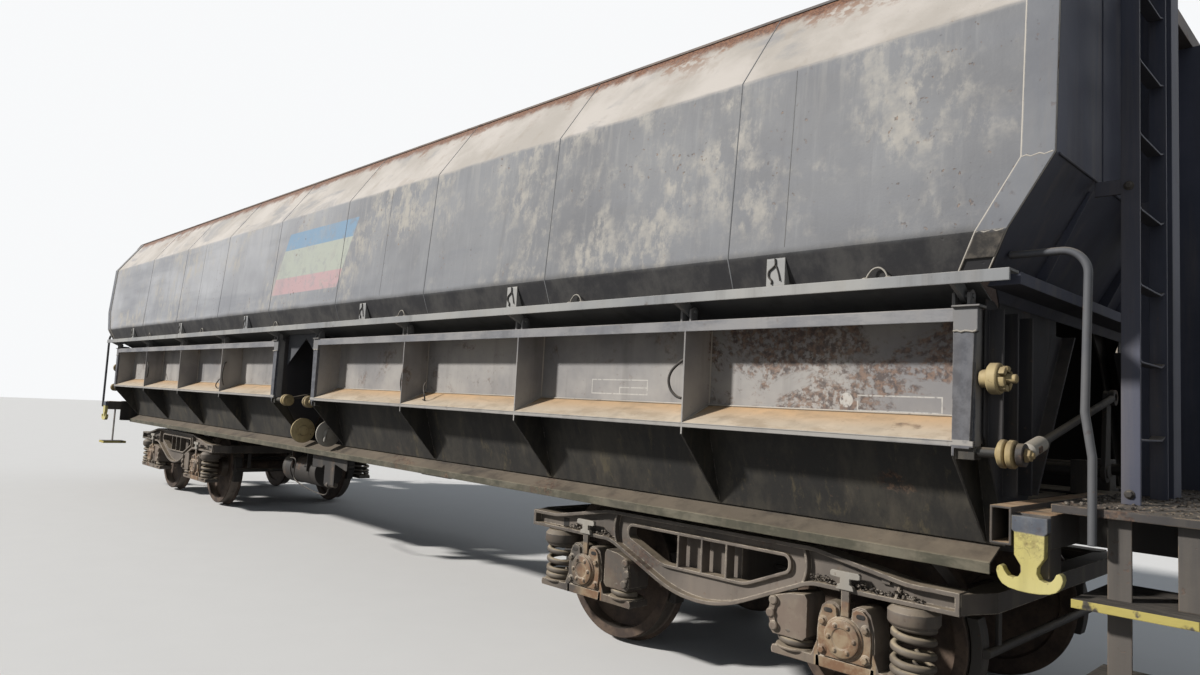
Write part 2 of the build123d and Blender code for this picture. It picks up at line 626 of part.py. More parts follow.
def tow_hook(x):
    """Anchor-shaped double hook hanging from its plate."""
    half = [(HOOK_HALF, 1172, 4), (HOOK_HALF, 1020, 12), (30, 1008, 14), (32, 948, 22), (88, 948, 16),
            (106, 984, 6), (124, 966, 12), (98, 900, 45)]
    corners = half + [(-q, z, r) for q, z, r in reversed(half)]
    hook = rounded(corners)
    return Pos(x, 0, 0) * slab(hook, HOOK_FACE_Y - HOOK_T / 2, HOOK_T)


def buffer_casing(sign):
    """Buffer base plate and casing on the buffer beam."""
    face = FRONT_FACE if sign > 0 else -REAR_FACE
    plate = block(face, face + sign * 22, BUFFER_Y - 180, BUFFER_Y + 180, BUFFER_Z - 150, BUFFER_Z + 150)
    profile = [(0, 0), (0, 126), (34, 126), (90, 106), (CASING_L - 34, 100), (CASING_L - 34, 112),
               (CASING_L, 112), (CASING_L, 0)]
    outline = make_face(Polyline(*[(face + sign * q, 0, r) for q, r in profile], close=True))
    casing = revolve(outline, axis=Axis((0, 0, 0), (1, 0, 0)))
    return plate + Pos(0, BUFFER_Y, BUFFER_Z) * casing


def buffer_head(sign):
    """Buffer plunger and its head."""
    face = FRONT_FACE if sign > 0 else -REAR_FACE
    base = face + sign * CASING_L
    tip = face + sign * BUFFER_L
    plunger = rod((base, BUFFER_Y, BUFFER_Z), (tip - sign * 30, BUFFER_Y, BUFFER_Z), 82)
    head = rod((tip - sign * 40, BUFFER_Y, BUFFER_Z), (tip, BUFFER_Y, BUFFER_Z), 235)
    head &= block(tip - sign * 50, tip, BUFFER_Y - 225, BUFFER_Y + 225, BUFFER_Z - 170, BUFFER_Z + 170)
    return plunger + head


def draw_gear(sign):
    """Draw hook and the hanging screw coupling at one end."""
    face = FRONT_FACE if sign > 0 else -REAR_FACE
    def at(x):
        return face + sign * x
    z = BUFFER_Z
    shank = block(at(0), at(150), -35, 35, z - 45, z + 45)
    hook = along_y([(at(150), z - 60), (at(330), z - 90), (at(390), z - 30), (at(380), z + 60),
                    (at(320), z + 80), (at(330), z + 10), (at(270), z - 20), (at(200), z + 40),
                    (at(150), z + 45)], -25, 25)
    body = shank + hook
    body -= rod((at(110), -80, z - 20), (at(110), 80, z - 20), 14 + RUN_GAP)
    pin = rod((at(110), -78, z - 20), (at(110), 78, z - 20), 14)
    nut = rod((at(150), -85, z - 330), (at(150), 85, z - 330), 28)
    foot = rod((at(160), -85, z - 560), (at(160), 85, z - 560), 25)
    coupling = pin + nut + foot + rod((at(150), 0, z - 330), (at(160), 0, z - 560), 20)
    for y in (-60, 60):
        coupling += rod((at(110), y, z - 20), (at(150), y, z - 330), 11)
    bow = FilletPolyline((at(160), -65, z - 560), (at(110), -65, z - 720), (at(110), 65, z - 720),
                         (at(160), 65, z - 560), radius=45)
    coupling += sweep(Plane(origin=bow @ 0, z_dir=bow % 0) * Circle(15), path=bow)
    return [body, coupling]


def air_tanks():
    """Brake reservoir on the near side and brake cylinder on the far side."""
    pieces = []
    tanks = ((-1, TANK_X0, TANK_X1, TANK_R), (1, CYLINDER_X0, CYLINDER_X1, CYLINDER_R))
    flange = SILL_FLANGE_Y + SEAT
    for side, x0, x1, r in tanks:
        y = side * TANK_Y
        tank = rod((x0, y, TANK_Z), (x1, y, TANK_Z), r)
        if side < 0:
            tank += rod((x0, y, TANK_Z), (x0 + TANK_RING, y, TANK_Z), r + 8)
        pieces.append(tank)
        outline = [(flange, 960), (flange, 1150), (1010, 985), (1010, TANK_Z), (TANK_Y - r, TANK_Z),
                   (TANK_Y - r, 880)]
        for x in (x0 + TANK_RING + 60, x1 - 150):
            plate = along_x([(side * p, z) for p, z in outline], x - 6, x + 6)
            pieces.append(plate - rod((x - 20, y, TANK_Z), (x + 20, y, TANK_Z), r + SEAT))
    return pieces


def shaft_bearings():
    """Bearing blocks that carry both crank shafts on the centre sill."""
    pieces = []
    for y in (SHAFT_Y, -SHAFT_Y):
        for x in BEARING_X:
            bearing = block(x - 35, x + 35, y - 55, y + 55, SILL_TOP + SILL_SKIN, SHAFT_Z + 50)
            pieces.append(bearing - rod((x - 40, y, SHAFT_Z), (x + 40, y, SHAFT_Z), SHAFT_R + RUN_GAP))
    return pieces


def centre_brackets():
    """Bracket plates that hang below the chute sill at the middle gap."""
    share = (1128 - SILL_IN_Y) / (SILL_LIP_Y - SILL_IN_Y)
    top = SILL_IN_Z + (SILL_LIP_Z - SILL_IN_Z) * share - 1.12 * SILL_T
    corners = [(-170, top, 0), (-170, 765, 15), (30, 768, 25), (90, 810, 15), (90, 620, 8), (290, 620, 8),
               (290, 822, 15), (530, 772, 15), (530, top, 0)]
    return both_sides([slab(rounded(corners), 1124, 8)])


def brake_column():
    """Hand brake pedestal on the platform."""
    y, half = COLUMN_Y, COLUMN_HALF
    post = block(COLUMN_X0, COLUMN_X1, y - half, y + half, FLOOR_TOP, COLUMN_TOP)
    bore = rod((COLUMN_X0 - 50, y, HAND_WHEEL_Z), (COLUMN_X1 + 20, y, HAND_WHEEL_Z), SPINDLE_R + RUN_GAP)
    return [post - bore]


def hand_wheel():
    """Hand brake wheel on its spindle."""
    x, y, z = HAND_WHEEL_X, COLUMN_Y, HAND_WHEEL_Z
    wheel = Pos(x, y, z) * Rot(0, 90, 0) * Torus(HAND_WHEEL_R, 13)
    wheel += rod((COLUMN_X0, y, z), (x + 15, y, z), SPINDLE_R)
    wheel += rod((x - 15, y, z), (x + 15, y, z), 35)
    for k in range(4):
        a = math.radians(45 + 90 * k)
        rim = (x, y + HAND_WHEEL_R * math.cos(a), z + HAND_WHEEL_R * math.sin(a))
        wheel += rod((x, y, z), rim, 9)
    return [wheel]


def hinge_stations(inner):
    """Distances along x of one door's hinges, its inner end given."""
    return [DOOR_END - HINGE_END] + [FIRST_RIB - RIB_PITCH * k for k in (1, 2, 3)] + [inner + HINGE_END]


def door_lugs(x):
    """Pair of door lugs on the hinge pin at x."""
    pair = []
    for e in (-LUG_SPREAD / 2, LUG_SPREAD / 2):
        a, b = x + e - LUG_T / 2, x + e + LUG_T / 2
        lug = block(a, b, HINGE_Y - LUG_R, HINGE_Y + LUG_R, DOOR_TOP - 4, HINGE_Z)
        lug += block(a, b, HINGE_Y, DOOR_OUT_Y, DOOR_TOP - 4, HINGE_Z + 12)
        lug += rod((a, HINGE_Y, HINGE_Z), (b, HINGE_Y, HINGE_Z), LUG_R)
        pair.append(lug - rod((a - 5, HINGE_Y, HINGE_Z), (b + 5, HINGE_Y, HINGE_Z), HINGE_PIN_R + RUN_GAP))
    return pair


def door(outer_x, inner_x):
    """Discharge door of the far side between two ends along x."""
    sign = 1 if outer_x > inner_x else -1
    x0, x1 = min(outer_x, inner_x), max(outer_x, inner_x)
    line = [(DOOR_FOOT_Y, DOOR_FOOT_Z), (PANEL_Y, SHELF_Z), (PANEL_Y, DOOR_TOP - 8)]
    sheets = [along_x(o, x0, x1) for o in strips(line, WALL)]
    frame = block(x0, x1, PANEL_Y - WALL, DOOR_OUT_Y, DOOR_TOP - 8, DOOR_TOP)
    frame += block(x0, x1, DOOR_OUT_Y - 8, DOOR_OUT_Y, DOOR_TOP - HEAD_H, DOOR_TOP)
    frame += block(x0, x1, PANEL_Y, DOOR_OUT_Y, SHELF_Z - 8, SHELF_Z)
    frame += block(x0, x1, DOOR_OUT_Y - 8, DOOR_OUT_Y, SHELF_Z - 24, SHELF_Z)
    face = DOOR_OUT_Y - 20
    for x, out in ((outer_x, sign), (inner_x, -sign)):
        frame += block(x - out * STILE_W, x, PANEL_Y, face, SHELF_Z, DOOR_TOP)
        stile = [(x - out * STILE_W, DOOR_TOP), (x + out * STILE_OUT, DOOR_TOP),
                 (x + out * STILE_OUT, STILE_STEP), (x, STILE_STEP - 8), (x - out * 14, STILE_FOOT),
                 (x - out * (STILE_W - 4), STILE_FOOT)]
        frame += along_y(stile, face, DOOR_OUT_Y)
        frame += block(x - out * STILE_W, x, LINK_PIN_Y - 35, face + 4, PIN_Z - 32, SHELF_Z - 8)
        frame += rod((x - out * 40, LINK_PIN_Y, PIN_Z), (x + out * PIN_REACH, LINK_PIN_Y, PIN_Z), PIN_R)
    wedge = [(PANEL_Y, SHELF_Z - 8), (DOOR_OUT_Y, SHELF_Z - 8), (DOOR_OUT_Y, PIN_Z - 20),
             (DOOR_FOOT_Y + 12, DOOR_FOOT_Z + 8), (DOOR_FOOT_Y + 3, DOOR_FOOT_Z + 10)]
    for s in [FIRST_RIB - RIB_PITCH * k for k in range(4)] + [abs(inner_x) + STILE_W / 2]:
        x = sign * s
        frame += block(x - RIB_T / 2, x + RIB_T / 2, PANEL_Y, DOOR_OUT_Y, SHELF_Z, DOOR_TOP - 8)
        frame += along_x(wedge, x - RIB_T / 2, x + RIB_T / 2)
    for s in hinge_stations(abs(inner_x)):
        for lug in door_lugs(sign * s):
            frame += lug
    return sheets + [frame]


def door_hinges():
    """Fixed hinge plates with their pins under the far waist rail."""
    inside = CREASE_Y - RAIL_T
    outline = [(inside, FOOT_Z - RAIL_T), (FOOT_Y - 36, FOOT_Z - RAIL_T), (HINGE_Y - 22, HINGE_Z + 14),
               (HINGE_Y - 22, HINGE_Z - 14), (HINGE_Y, HINGE_Z - LUG_R), (HINGE_Y + LUG_R, HINGE_Z - 12),
               (inside, FOOT_Z - RAIL_H)]
    hinges = []
    for sign, inner in ((1, DOOR_MID_FRONT), (-1, DOOR_MID_REAR)):
        for s in hinge_stations(inner):
            x = sign * s
            pin = rod((x - 42, HINGE_Y, HINGE_Z), (x + 42, HINGE_Y, HINGE_Z), HINGE_PIN_R)
            hinges.append(pin + along_x(outline, x - 9, x + 9))
    return hinges


def link_rods(x_outer, x_inner):
    """Rods of one far door, from its pins in to the crank pins."""
    rods = []
    for x in (x_outer, x_inner):
        a, b = (LINK_PIN_Y, PIN_Z), (CRANK_PIN_Y, SHAFT_Z + CRANK_R)
        start = between(a, b, 0.03)
        end = between(a, b, 0.975)
        bar = rod((x, *start), (x, *end), 17)
        bar += rod((x - LINK_T / 2, *a), (x + LINK_T / 2, *a), 44)
        bar += rod((x - LINK_T / 2, *b), (x + LINK_T / 2, *b), 38)
        bar -= rod((x - LINK_T, *a), (x + LINK_T, *a), PIN_R + RUN_GAP)
        bar -= rod((x - LINK_T, *b), (x + LINK_T, *b), 16 + 5.0)
        rods.append(bar)
    return rods


def crank_shaft():
    """Far crank shaft with an arm for each link."""
    end = LINK_X - LINK_T / 2
    shaft = rod((-end, SHAFT_Y, SHAFT_Z), (end, SHAFT_Y, SHAFT_Z), SHAFT_R)
    for x, side in ((LINK_X, 1), (LINK_MID_FRONT, 1), (-LINK_MID_REAR, -1), (-LINK_X, -1)):
        arm_x = x - side * (LINK_T / 2 + 16)
        hull = along_x([(SHAFT_Y - 45, SHAFT_Z), (SHAFT_Y + 45, SHAFT_Z),
                        (CRANK_PIN_Y + 32, SHAFT_Z + CRANK_R), (CRANK_PIN_Y - 32, SHAFT_Z + CRANK_R)],
                       arm_x - 10, arm_x + 10)
        hull += rod((arm_x - 10, SHAFT_Y, SHAFT_Z), (arm_x + 10, SHAFT_Y, SHAFT_Z), 50)
        hull += rod((arm_x - 10, CRANK_PIN_Y, SHAFT_Z + CRANK_R),
                    (arm_x + 10, CRANK_PIN_Y, SHAFT_Z + CRANK_R), 33)
        shaft += hull
    return [shaft]


def frame_face():
    """Outline of the bogie's side frame: level arms and a bellied middle."""
    half = [(FRAME_END, FRAME_FOOT, 0), (FRAME_END, FRAME_END_TOP, 0), (1200, FRAME_END_TOP, 400),
            (720, FRAME_TOP, 600)]
    corners = half + [(-x, z, r) for x, z, r in reversed(half)]
    corners += [(-FRAME_ARM_X, FRAME_FOOT, 250), (0, BELLY_Z, 780), (FRAME_ARM_X, FRAME_FOOT, 250)]
    return rounded(corners)


def window_bead(x, bow):
    """Curved stiffener across the web beside the window."""
    (low, high), half = BEAD_Z, 6.0
    mid = (low + high) / 2
    inner = ThreePointArc((x - half, 0, low), (x - half + bow, 0, mid), (x - half, 0, high))
    outer = ThreePointArc((x + half, 0, high), (x + half + bow, 0, mid), (x + half, 0, low))
    return make_face([inner, Line(inner @ 1, outer @ 0), outer, Line(outer @ 1, inner @ 0)])


def side_frame(pivot):
    """Cast side frame of the far side: I-section round a ribbed oblong window."""
    face = frame_face()
    window = [(-WINDOW_X, WINDOW_SIDE, 30), (-WINDOW_LOW_X, WINDOW_LOW, 200),
              (WINDOW_LOW_X, WINDOW_LOW, 200), (WINDOW_X, WINDOW_SIDE, 30), (WINDOW_X, WINDOW_TOP, 30),
              (-WINDOW_X, WINDOW_TOP, 30)]
    hole = rounded(window)
    inner = offset(face, amount=-FRAME_SKIN, kind=Kind.INTERSECTION)
    rim = offset(hole, amount=WINDOW_RIM_T, kind=Kind.ARC)
    frame = slab(face - inner, FRAME_Y, FRAME_FLANGE)
    frame += slab(face - hole, FRAME_Y, FRAME_WEB)
    frame += slab(rim - hole, FRAME_Y, WINDOW_RIM_W)
    half = WINDOW_RIM_W / 2
    for x in WINDOW_RIB_X:
        frame += block(x - 6, x + 6, FRAME_Y - half, FRAME_Y + half, WINDOW_LOW - 8, WINDOW_TOP + 8)
    for side in (1, -1):
        frame += slab(window_bead(side * BEAD_X, side * BEAD_BOW), FRAME_Y, FRAME_FLANGE - 24)
    return Pos(pivot, 0, 0) * frame


def transom(pivot):
    """Middle box beam with the pivot bowl, and the two bowed end beams."""
    inside = FRAME_Y - FRAME_FLANGE / 2
    bowl_top = PIVOT_BOTTOM + 18
    beam = block(pivot - TRANSOM_X, pivot + TRANSOM_X, -inside, inside, TRANSOM_LOW, TRANSOM_TOP)
    beam += Pos(pivot, 0, (TRANSOM_TOP + bowl_top) / 2) * Cylinder(190, bowl_top - TRANSOM_TOP)
    beam -= Pos(pivot, 0, PIVOT_BOTTOM - SEAT + 15) * Cylinder(PIVOT_R + 4, 30)
    a = FRAME_END + SEAT
    half = [(a, inside - SEAT), (a, FRAME_Y + 50), (END_BEAM_X1, 900)]
    back = [(END_BEAM_X0, -inside + 50), (END_BEAM_X0, inside - 50)]
    plan = half + [(x, -y) for x, y in reversed(half)] + back
    ends = []
    for side in (1, -1):
        ends.append(along_z([(pivot + side * x, y) for x, y in plan], END_BEAM_LOW, END_BEAM_TOP))
    return [beam] + ends


def axle_gear(pivot):
    """Axle boxes, springs and caps of one bogie's far side."""
    pieces = []
    frame = slab(offset(frame_face(), amount=SEAT), FRAME_Y, 400)
    for e in (-1, 1):
        x = e * WHEELBASE / 2
        half = [(125, BOX_LOW), (135, 430), (120, 560), (85, BOX_TOP)]
        outline = [(x + q, z) for q, z in half] + [(x - q, z) for q, z in reversed(half)]
        box = along_y(outline, BOX_IN_Y, BOX_OUT_Y)
        box += rod((x, BOX_OUT_Y, WHEEL_R), (x, BOX_OUT_Y + 14, WHEEL_R), 118)
        box += rod((x, BOX_OUT_Y, WHEEL_R), (x, BOX_OUT_Y + 36, WHEEL_R), 98)
        reach = SPRING_X + SPRING_R
        box += block(x - reach, x + reach, 950, 1110, WING_LOW, WING_TOP)
        for side, low in ((e, CAP_LOW_OUTER), (-e, CAP_LOW_INNER)):
            place = x + side * SPRING_X
            spring = rod((place, SPRING_Y, WING_TOP - 4), (place, SPRING_Y, low), SPRING_R)
            box += spring + rod((place, SPRING_Y, low), (place, SPRING_Y, FRAME_END_TOP), CAP_R)
        box -= rod((x, BOX_IN_Y - 5, WHEEL_R), (x, 1085, WHEEL_R), JOURNAL_R + RUN_GAP)
        box -= frame
        pieces += [solid for solid in box.solids() if solid.bounding_box().min.Z < FRAME_FOOT - 50]
    return [Pos(pivot, 0, 0) * piece for piece in pieces]


def brake_beam(axle, side):
    """Brake beam with two shoes: side is +1 where the wheel lies toward +x."""
    reach = WHEEL_R + 6
    bar_x = axle - side * (reach + 60)
    beam = rod((bar_x, -790, WHEEL_R), (bar_x, 790, WHEEL_R), 22)
    for y in (-SHOE_Y, SHOE_Y):
        y0, y1 = y - SHOE_W / 2, y + SHOE_W / 2
        shoe = rod((axle, y0, WHEEL_R), (axle, y1, WHEEL_R), reach + 48)
        shoe -= rod((axle, y0 - 10, WHEEL_R), (axle, y1 + 10, WHEEL_R), reach)
        shoe &= block(axle - side * 300, axle - side * 700, y0, y1, WHEEL_R - 150, WHEEL_R + 150)
        beam += shoe
    return beam


def brake_gear(pivot):
    """Brake beams and shoes on both sides of each axle, with their hangers."""
    pieces = []
    for e in (-1, 1):
        axle = pivot + e * WHEELBASE / 2
        for side in (1, -1):
            beam = brake_beam(axle, side)
            bar_x = axle - side * (WHEEL_R + 66)
            for y in (-BRAKE_HANGER_Y, BRAKE_HANGER_Y):
                y0, y1 = y - 20, y + 20
                if side * e < 0:
                    beam += block(bar_x - 8, bar_x + 8, y0, y1, WHEEL_R, END_BEAM_LOW - SEAT)
                else:
                    beam += block(bar_x - 8, bar_x + 8, y0, y1, WHEEL_R, 640)
                    beam += block(bar_x - 8, pivot + e * (TRANSOM_X + SEAT), y0, y1, 624, 640)
            pieces.append(beam)
    return pieces


def wheelset(x):
    """Axle with its two wheels, turned in one profile."""
    y0, y1 = WHEEL_BACK, WHEEL_BACK + RIM_W
    r = WHEEL_R
    tip = r + FLANGE_H
    half = [(y0 - 15, AXLE_R), (y0 - 15, 105), (y0 + 20, 118), (y0 + 22, r - 80), (y0, r - 66),
            (y0, tip - 18), (y0 + 6, tip - 4), (y0 + 14, tip), (y0 + 22, tip - 6), (y0 + 32, r + 6),
            (y0 + 44, r + 1), (y1 - 6, r - 3), (y1, r - 9), (y1, r - 62), (y0 + 60, r - 74),
            (y0 + 58, 125), (y1 + 25, 112), (y1 + 25, 88), (925, 88), (925, JOURNAL_R),
            (1080, JOURNAL_R), (1080, 0)]
    profile = half + [(-y, q) for y, q in reversed(half)]
    face = make_face(Polyline(*[(x + q, y, WHEEL_R) for y, q in profile], close=True))
    return [revolve(face, axis=Axis((x, 0, WHEEL_R), (0, 1, 0)))]


def build():
    """Write every node."""
    walls = side_wall()
    save("side_wall_far", walls)
    save("side_wall_near", near(walls))
    ends = end_wall()
    save("end_wall_front", ends)
    save("end_wall_rear", [mirror(s, about=Plane.YZ) for s in ends])
    save("corner_straps", both_sides(straps()))
    save("top_rails", top_rails())
    save("saddle", saddle())
    save("middle_ridge", both_sides(middle_ridge() + [apron()]))
    save("chute_plates", both_sides(chute_plates()))
    save("waist_rails", both_sides(waist_rail()))
    save("end_beams", both_ends(end_beam()))
    save("wall_gussets", both_sides(gussets()))
    save("door_hinges", both_sides(door_hinges()))
    save("chute_sills", both_sides(chute_sill()))
    save("centre_sill", centre_sill())
    save("cross_bearers", both_sides(cross_bearers()))
    save("saddle_frames", [saddle_frame(x) for x in BEARER_X])
    save("headstocks", headstocks())
    save("end_posts", end_posts())
    save("platform_floor", platform_floor())
    save("platform_rail", both_sides([platform_rail()]))
    save("ladder", ladder())
    save("handrails", both_sides([handrail(1), handrail(-1)]))
    save("step_boards", step_boards())
    save("step_hangers", step_hangers())
    save("hook_beams", hook_beams())
    save("tow_hooks", both_sides([tow_hook(HOOK_X), tow_hook(REAR_HOOK_X)]))
    save("buffer_casings", both_sides([buffer_casing(1), buffer_casing(-1)]))
    save("buffer_heads", both_sides([buffer_head(1), buffer_head(-1)]))
    save("draw_gear", draw_gear(1) + draw_gear(-1))
    save("air_tanks", air_tanks())
    save("shaft_bearings", shaft_bearings())
    save("centre_brackets", centre_brackets())
    save("brake_column", brake_column())
    save("hand_wheel", hand_wheel())
    front = door(DOOR_END, DOOR_MID_FRONT)
    rear = door(-DOOR_END, -DOOR_MID_REAR)
    links = {"front": link_rods(LINK_X, LINK_MID_FRONT), "rear": link_rods(-LINK_X, -LINK_MID_REAR)}
    for end, solids in (("front", front), ("rear", rear)):
        save(f"door_far_{end}", solids)
        save(f"door_near_{end}", near(solids))
        save(f"links_far_{end}", links[end])
        save(f"links_near_{end}", near(links[end]))
    cranks = crank_shaft()
    save("crank_shaft_far", cranks)
    save("crank_shaft_near", near(cranks))
    for end, pivot in PIVOTS.items():
        save(f"bogie_sides_{end}", both_sides([side_frame(pivot)]))
        save(f"bogie_transom_{end}", transom(pivot))
        save(f"axle_gear_{end}", both_sides(axle_gear(pivot)))
        save(f"brake_gear_{end}", brake_gear(pivot))
        for place, e in (("outer", 1), ("inner", -1)):
            x = pivot + math.copysign(WHEELBASE / 2, pivot) * e
            save(f"wheelset_{end}_{place}", wheelset(x))


build()
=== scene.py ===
import random
from math import atan2, cos, exp, radians, sin, sqrt, tau

import bmesh
import bpy
from mathutils import Matrix, Vector


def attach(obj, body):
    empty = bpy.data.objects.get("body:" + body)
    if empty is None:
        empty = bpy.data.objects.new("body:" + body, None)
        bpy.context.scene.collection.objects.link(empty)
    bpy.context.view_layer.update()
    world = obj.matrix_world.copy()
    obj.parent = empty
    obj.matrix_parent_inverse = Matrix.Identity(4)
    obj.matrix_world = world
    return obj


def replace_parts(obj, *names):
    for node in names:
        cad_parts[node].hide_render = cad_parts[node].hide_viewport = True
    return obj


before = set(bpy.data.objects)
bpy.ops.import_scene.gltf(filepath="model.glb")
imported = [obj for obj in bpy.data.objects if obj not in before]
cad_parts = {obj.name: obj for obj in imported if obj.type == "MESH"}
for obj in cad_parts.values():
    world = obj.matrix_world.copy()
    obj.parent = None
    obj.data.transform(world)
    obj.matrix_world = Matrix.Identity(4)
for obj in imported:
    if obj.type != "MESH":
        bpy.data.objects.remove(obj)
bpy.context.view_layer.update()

# Open hopper wagon. Pieces are laid out in metres from the point midway between
# the end walls at rail height, and moved by ORIGIN into the part's frame.
ORIGIN = Vector((-0.31, 0.0, 0.028))
SIDES = (("near", -1), ("far", 1))
ENDS = (("front", 1), ("rear", -1))
CORNERS = [(f"{side}_{end}", s, e) for side, s in SIDES for end, e in ENDS]

# Outer face of a side wall as (y, z), and the end wall's place, bend and slope.
WALL = ((1.497, 2.09), (1.554, 2.241), (1.488, 3.145), (1.171, 3.599))
END_X, END_BEND_Z, END_SLOPE = 6.53, 2.51, 0.585
PIVOTS = {"front": 4.6, "rear": -4.4}
AXLE_X, AXLE_Z = 0.9, 0.46
HEADSTOCKS = {"front": 6.96, "rear": -6.34}
BUFFER_Y, BUFFER_Z = 0.875, 1.06
SEAMS = (5.07, 3.68, 2.31, 0.92, -0.48, -1.87, -3.26, -4.64)
GUSSETS = (5.345, 3.36, 1.4, -1.06, -3.11, -5.11)
LOOPS = (5.84, 3.95, 1.98, -0.35, -2.4, -4.4)


def srgb(r, g, b):
    """Linear colour of an 8-bit sRGB triple."""
    return tuple(((c / 255) / 12.92 if c <= 10 else ((c / 255 + 0.055) / 1.055) ** 2.4)
                 for c in (r, g, b)) + (1.0,)


# Materials

class Tree:
    """Nodes of a material or world. A triple is an 8-bit sRGB colour, a list a vector."""

    def __init__(self, owner):
        owner.use_nodes = True
        self.nodes, self.links = owner.node_tree.nodes, owner.node_tree.links
        self.nodes.clear()

    def put(self, socket, value):
        if isinstance(value, bpy.types.NodeSocket):
            self.links.new(value, socket)
        elif isinstance(value, tuple) and len(value) == 3:
            socket.default_value = srgb(*value)
        else:
            socket.default_value = value

    def node(self, kind, inputs=None, **settings):
        """Outputs of a new node, with its settings made and its inputs linked or set."""
        node = self.nodes.new(f"ShaderNode{kind}")
        for key, value in settings.items():
            setattr(node, key, value)
        for key, value in (inputs or {}).items():
            self.put(node.inputs[key], value)
        return node.outputs


class Paint(Tree):
    """One procedural material, in the part's own metres."""

    def __init__(self, name):
        self.mat = bpy.data.materials.new(name)
        super().__init__(self.mat)
        coord = self.node("TexCoord")
        self.pos = coord["Object"]
        self.x, self.y, self.z = self.node("SeparateXYZ", {0: self.pos})
        self.nx, self.ny, self.nz = self.node("SeparateXYZ", {0: coord["Normal"]})

    def math(self, kind, a, b=0.0, clamp=False):
        return self.node("Math", {0: a, 1: b}, operation=kind, use_clamp=clamp)[0]

    def plus(self, a, b):
        return self.math("ADD", a, b)

    def minus(self, a, b):
        return self.math("SUBTRACT", a, b)

    def most(self, a, b):
        return self.math("MAXIMUM", a, b)

    def size(self, a):
        return self.math("ABSOLUTE", a)

    def times(self, *values):
        out = values[0]
        for v in values[1:]:
            out = self.math("MULTIPLY", out, v)
        return out

    def noise(self, scale, detail=4.0, rough=0.55, shift=0.0, stretch=(1, 1, 1), bend=0.0):
        place = self.node("Mapping", {0: self.pos, "Scale": list(stretch),
                                      "Location": [shift, shift * 1.7, -shift]})
        return self.node("TexNoise", {"Vector": place[0], "Scale": scale, "Detail": detail,
                                      "Roughness": rough, "Distortion": bend})["Fac"]

    def step(self, value, low, high):
        """0 below low, 1 above high, smooth between; low may lie above high."""
        ends = (low, high, 0.0, 1.0) if low < high else (high, low, 1.0, 0.0)
        return self.node("MapRange", dict(enumerate((value,) + ends)),
                         interpolation_type="SMOOTHSTEP")[0]

    def cover(self, low, high, *noise, **more):
        """Noise cut between two of its levels."""
        return self.step(self.noise(*noise, **more), low, high)

    def mix(self, share, a, b):
        return self.node("Mix", {0: share, 6: a, 7: b}, data_type="RGBA")[2]

    def veil(self, colour, over, *shares):
        """Colour with another laid over it, by the product of the shares."""
        return self.mix(self.times(*shares), colour, over)

    def band(self, value, low, high, soft=0.001):
        """1 between low and high, with soft edges."""
        return self.times(self.step(value, low - soft, low + soft),
                          self.step(value, high + soft, high - soft))

    def number(self, share, a, b):
        """Number between a and b."""
        return self.plus(self.times(share, b - a), a)

    def spans(self, value, ranges):
        """1 inside any of the ranges."""
        out = 0.0
        for low, high in ranges:
            out = self.most(self.band(value, low, high), out)
        return out

    def frame_lines(self, boxes, width):
        """1 on the outlines of (x0, x1, z0, z1) boxes."""
        out = 0.0
        for x0, x1, z0, z1 in boxes:
            outer, inner = (self.times(self.band(self.x, x0 + d, x1 - d), self.band(self.z, z0 + d, z1 - d))
                            for d in (0, width))
            out = self.most(self.minus(outer, inner), out)
        return out

    def edges(self, radius=0.006):
        """1 on sharp edges, and the rounded normal."""
        soft = self.node("Bevel", {0: radius}, samples=4)[0]
        flat = self.node("NewGeometry")["Normal"]
        dot = self.node("VectorMath", {0: soft, 1: flat}, operation="DOT_PRODUCT")
        return self.step(dot["Value"], 0.985, 0.8), soft

    def finish(self, colour, rough, height, normal=None, strength=0.35, depth=0.004, metallic=0.0):
        shape = {"Strength": strength, "Distance": depth, "Height": height}
        if normal:
            shape["Normal"] = normal
        surface = {"Base Color": colour, "Roughness": rough, "Metallic": metallic,
                   "Normal": self.node("Bump", shape)[0]}
        self.node("OutputMaterial", {0: self.node("BsdfPrincipled", surface)[0]})
        return self.mat


RUST_DARK, RUST, RUST_PALE = (56, 41, 36), (96, 70, 56), (138, 112, 90)
# The grime colour serves dirt streaks and also painted shade on downward faces and inner parts.
DUST, GRIME_AND_SHADE = (150, 137, 118), (38, 35, 33)


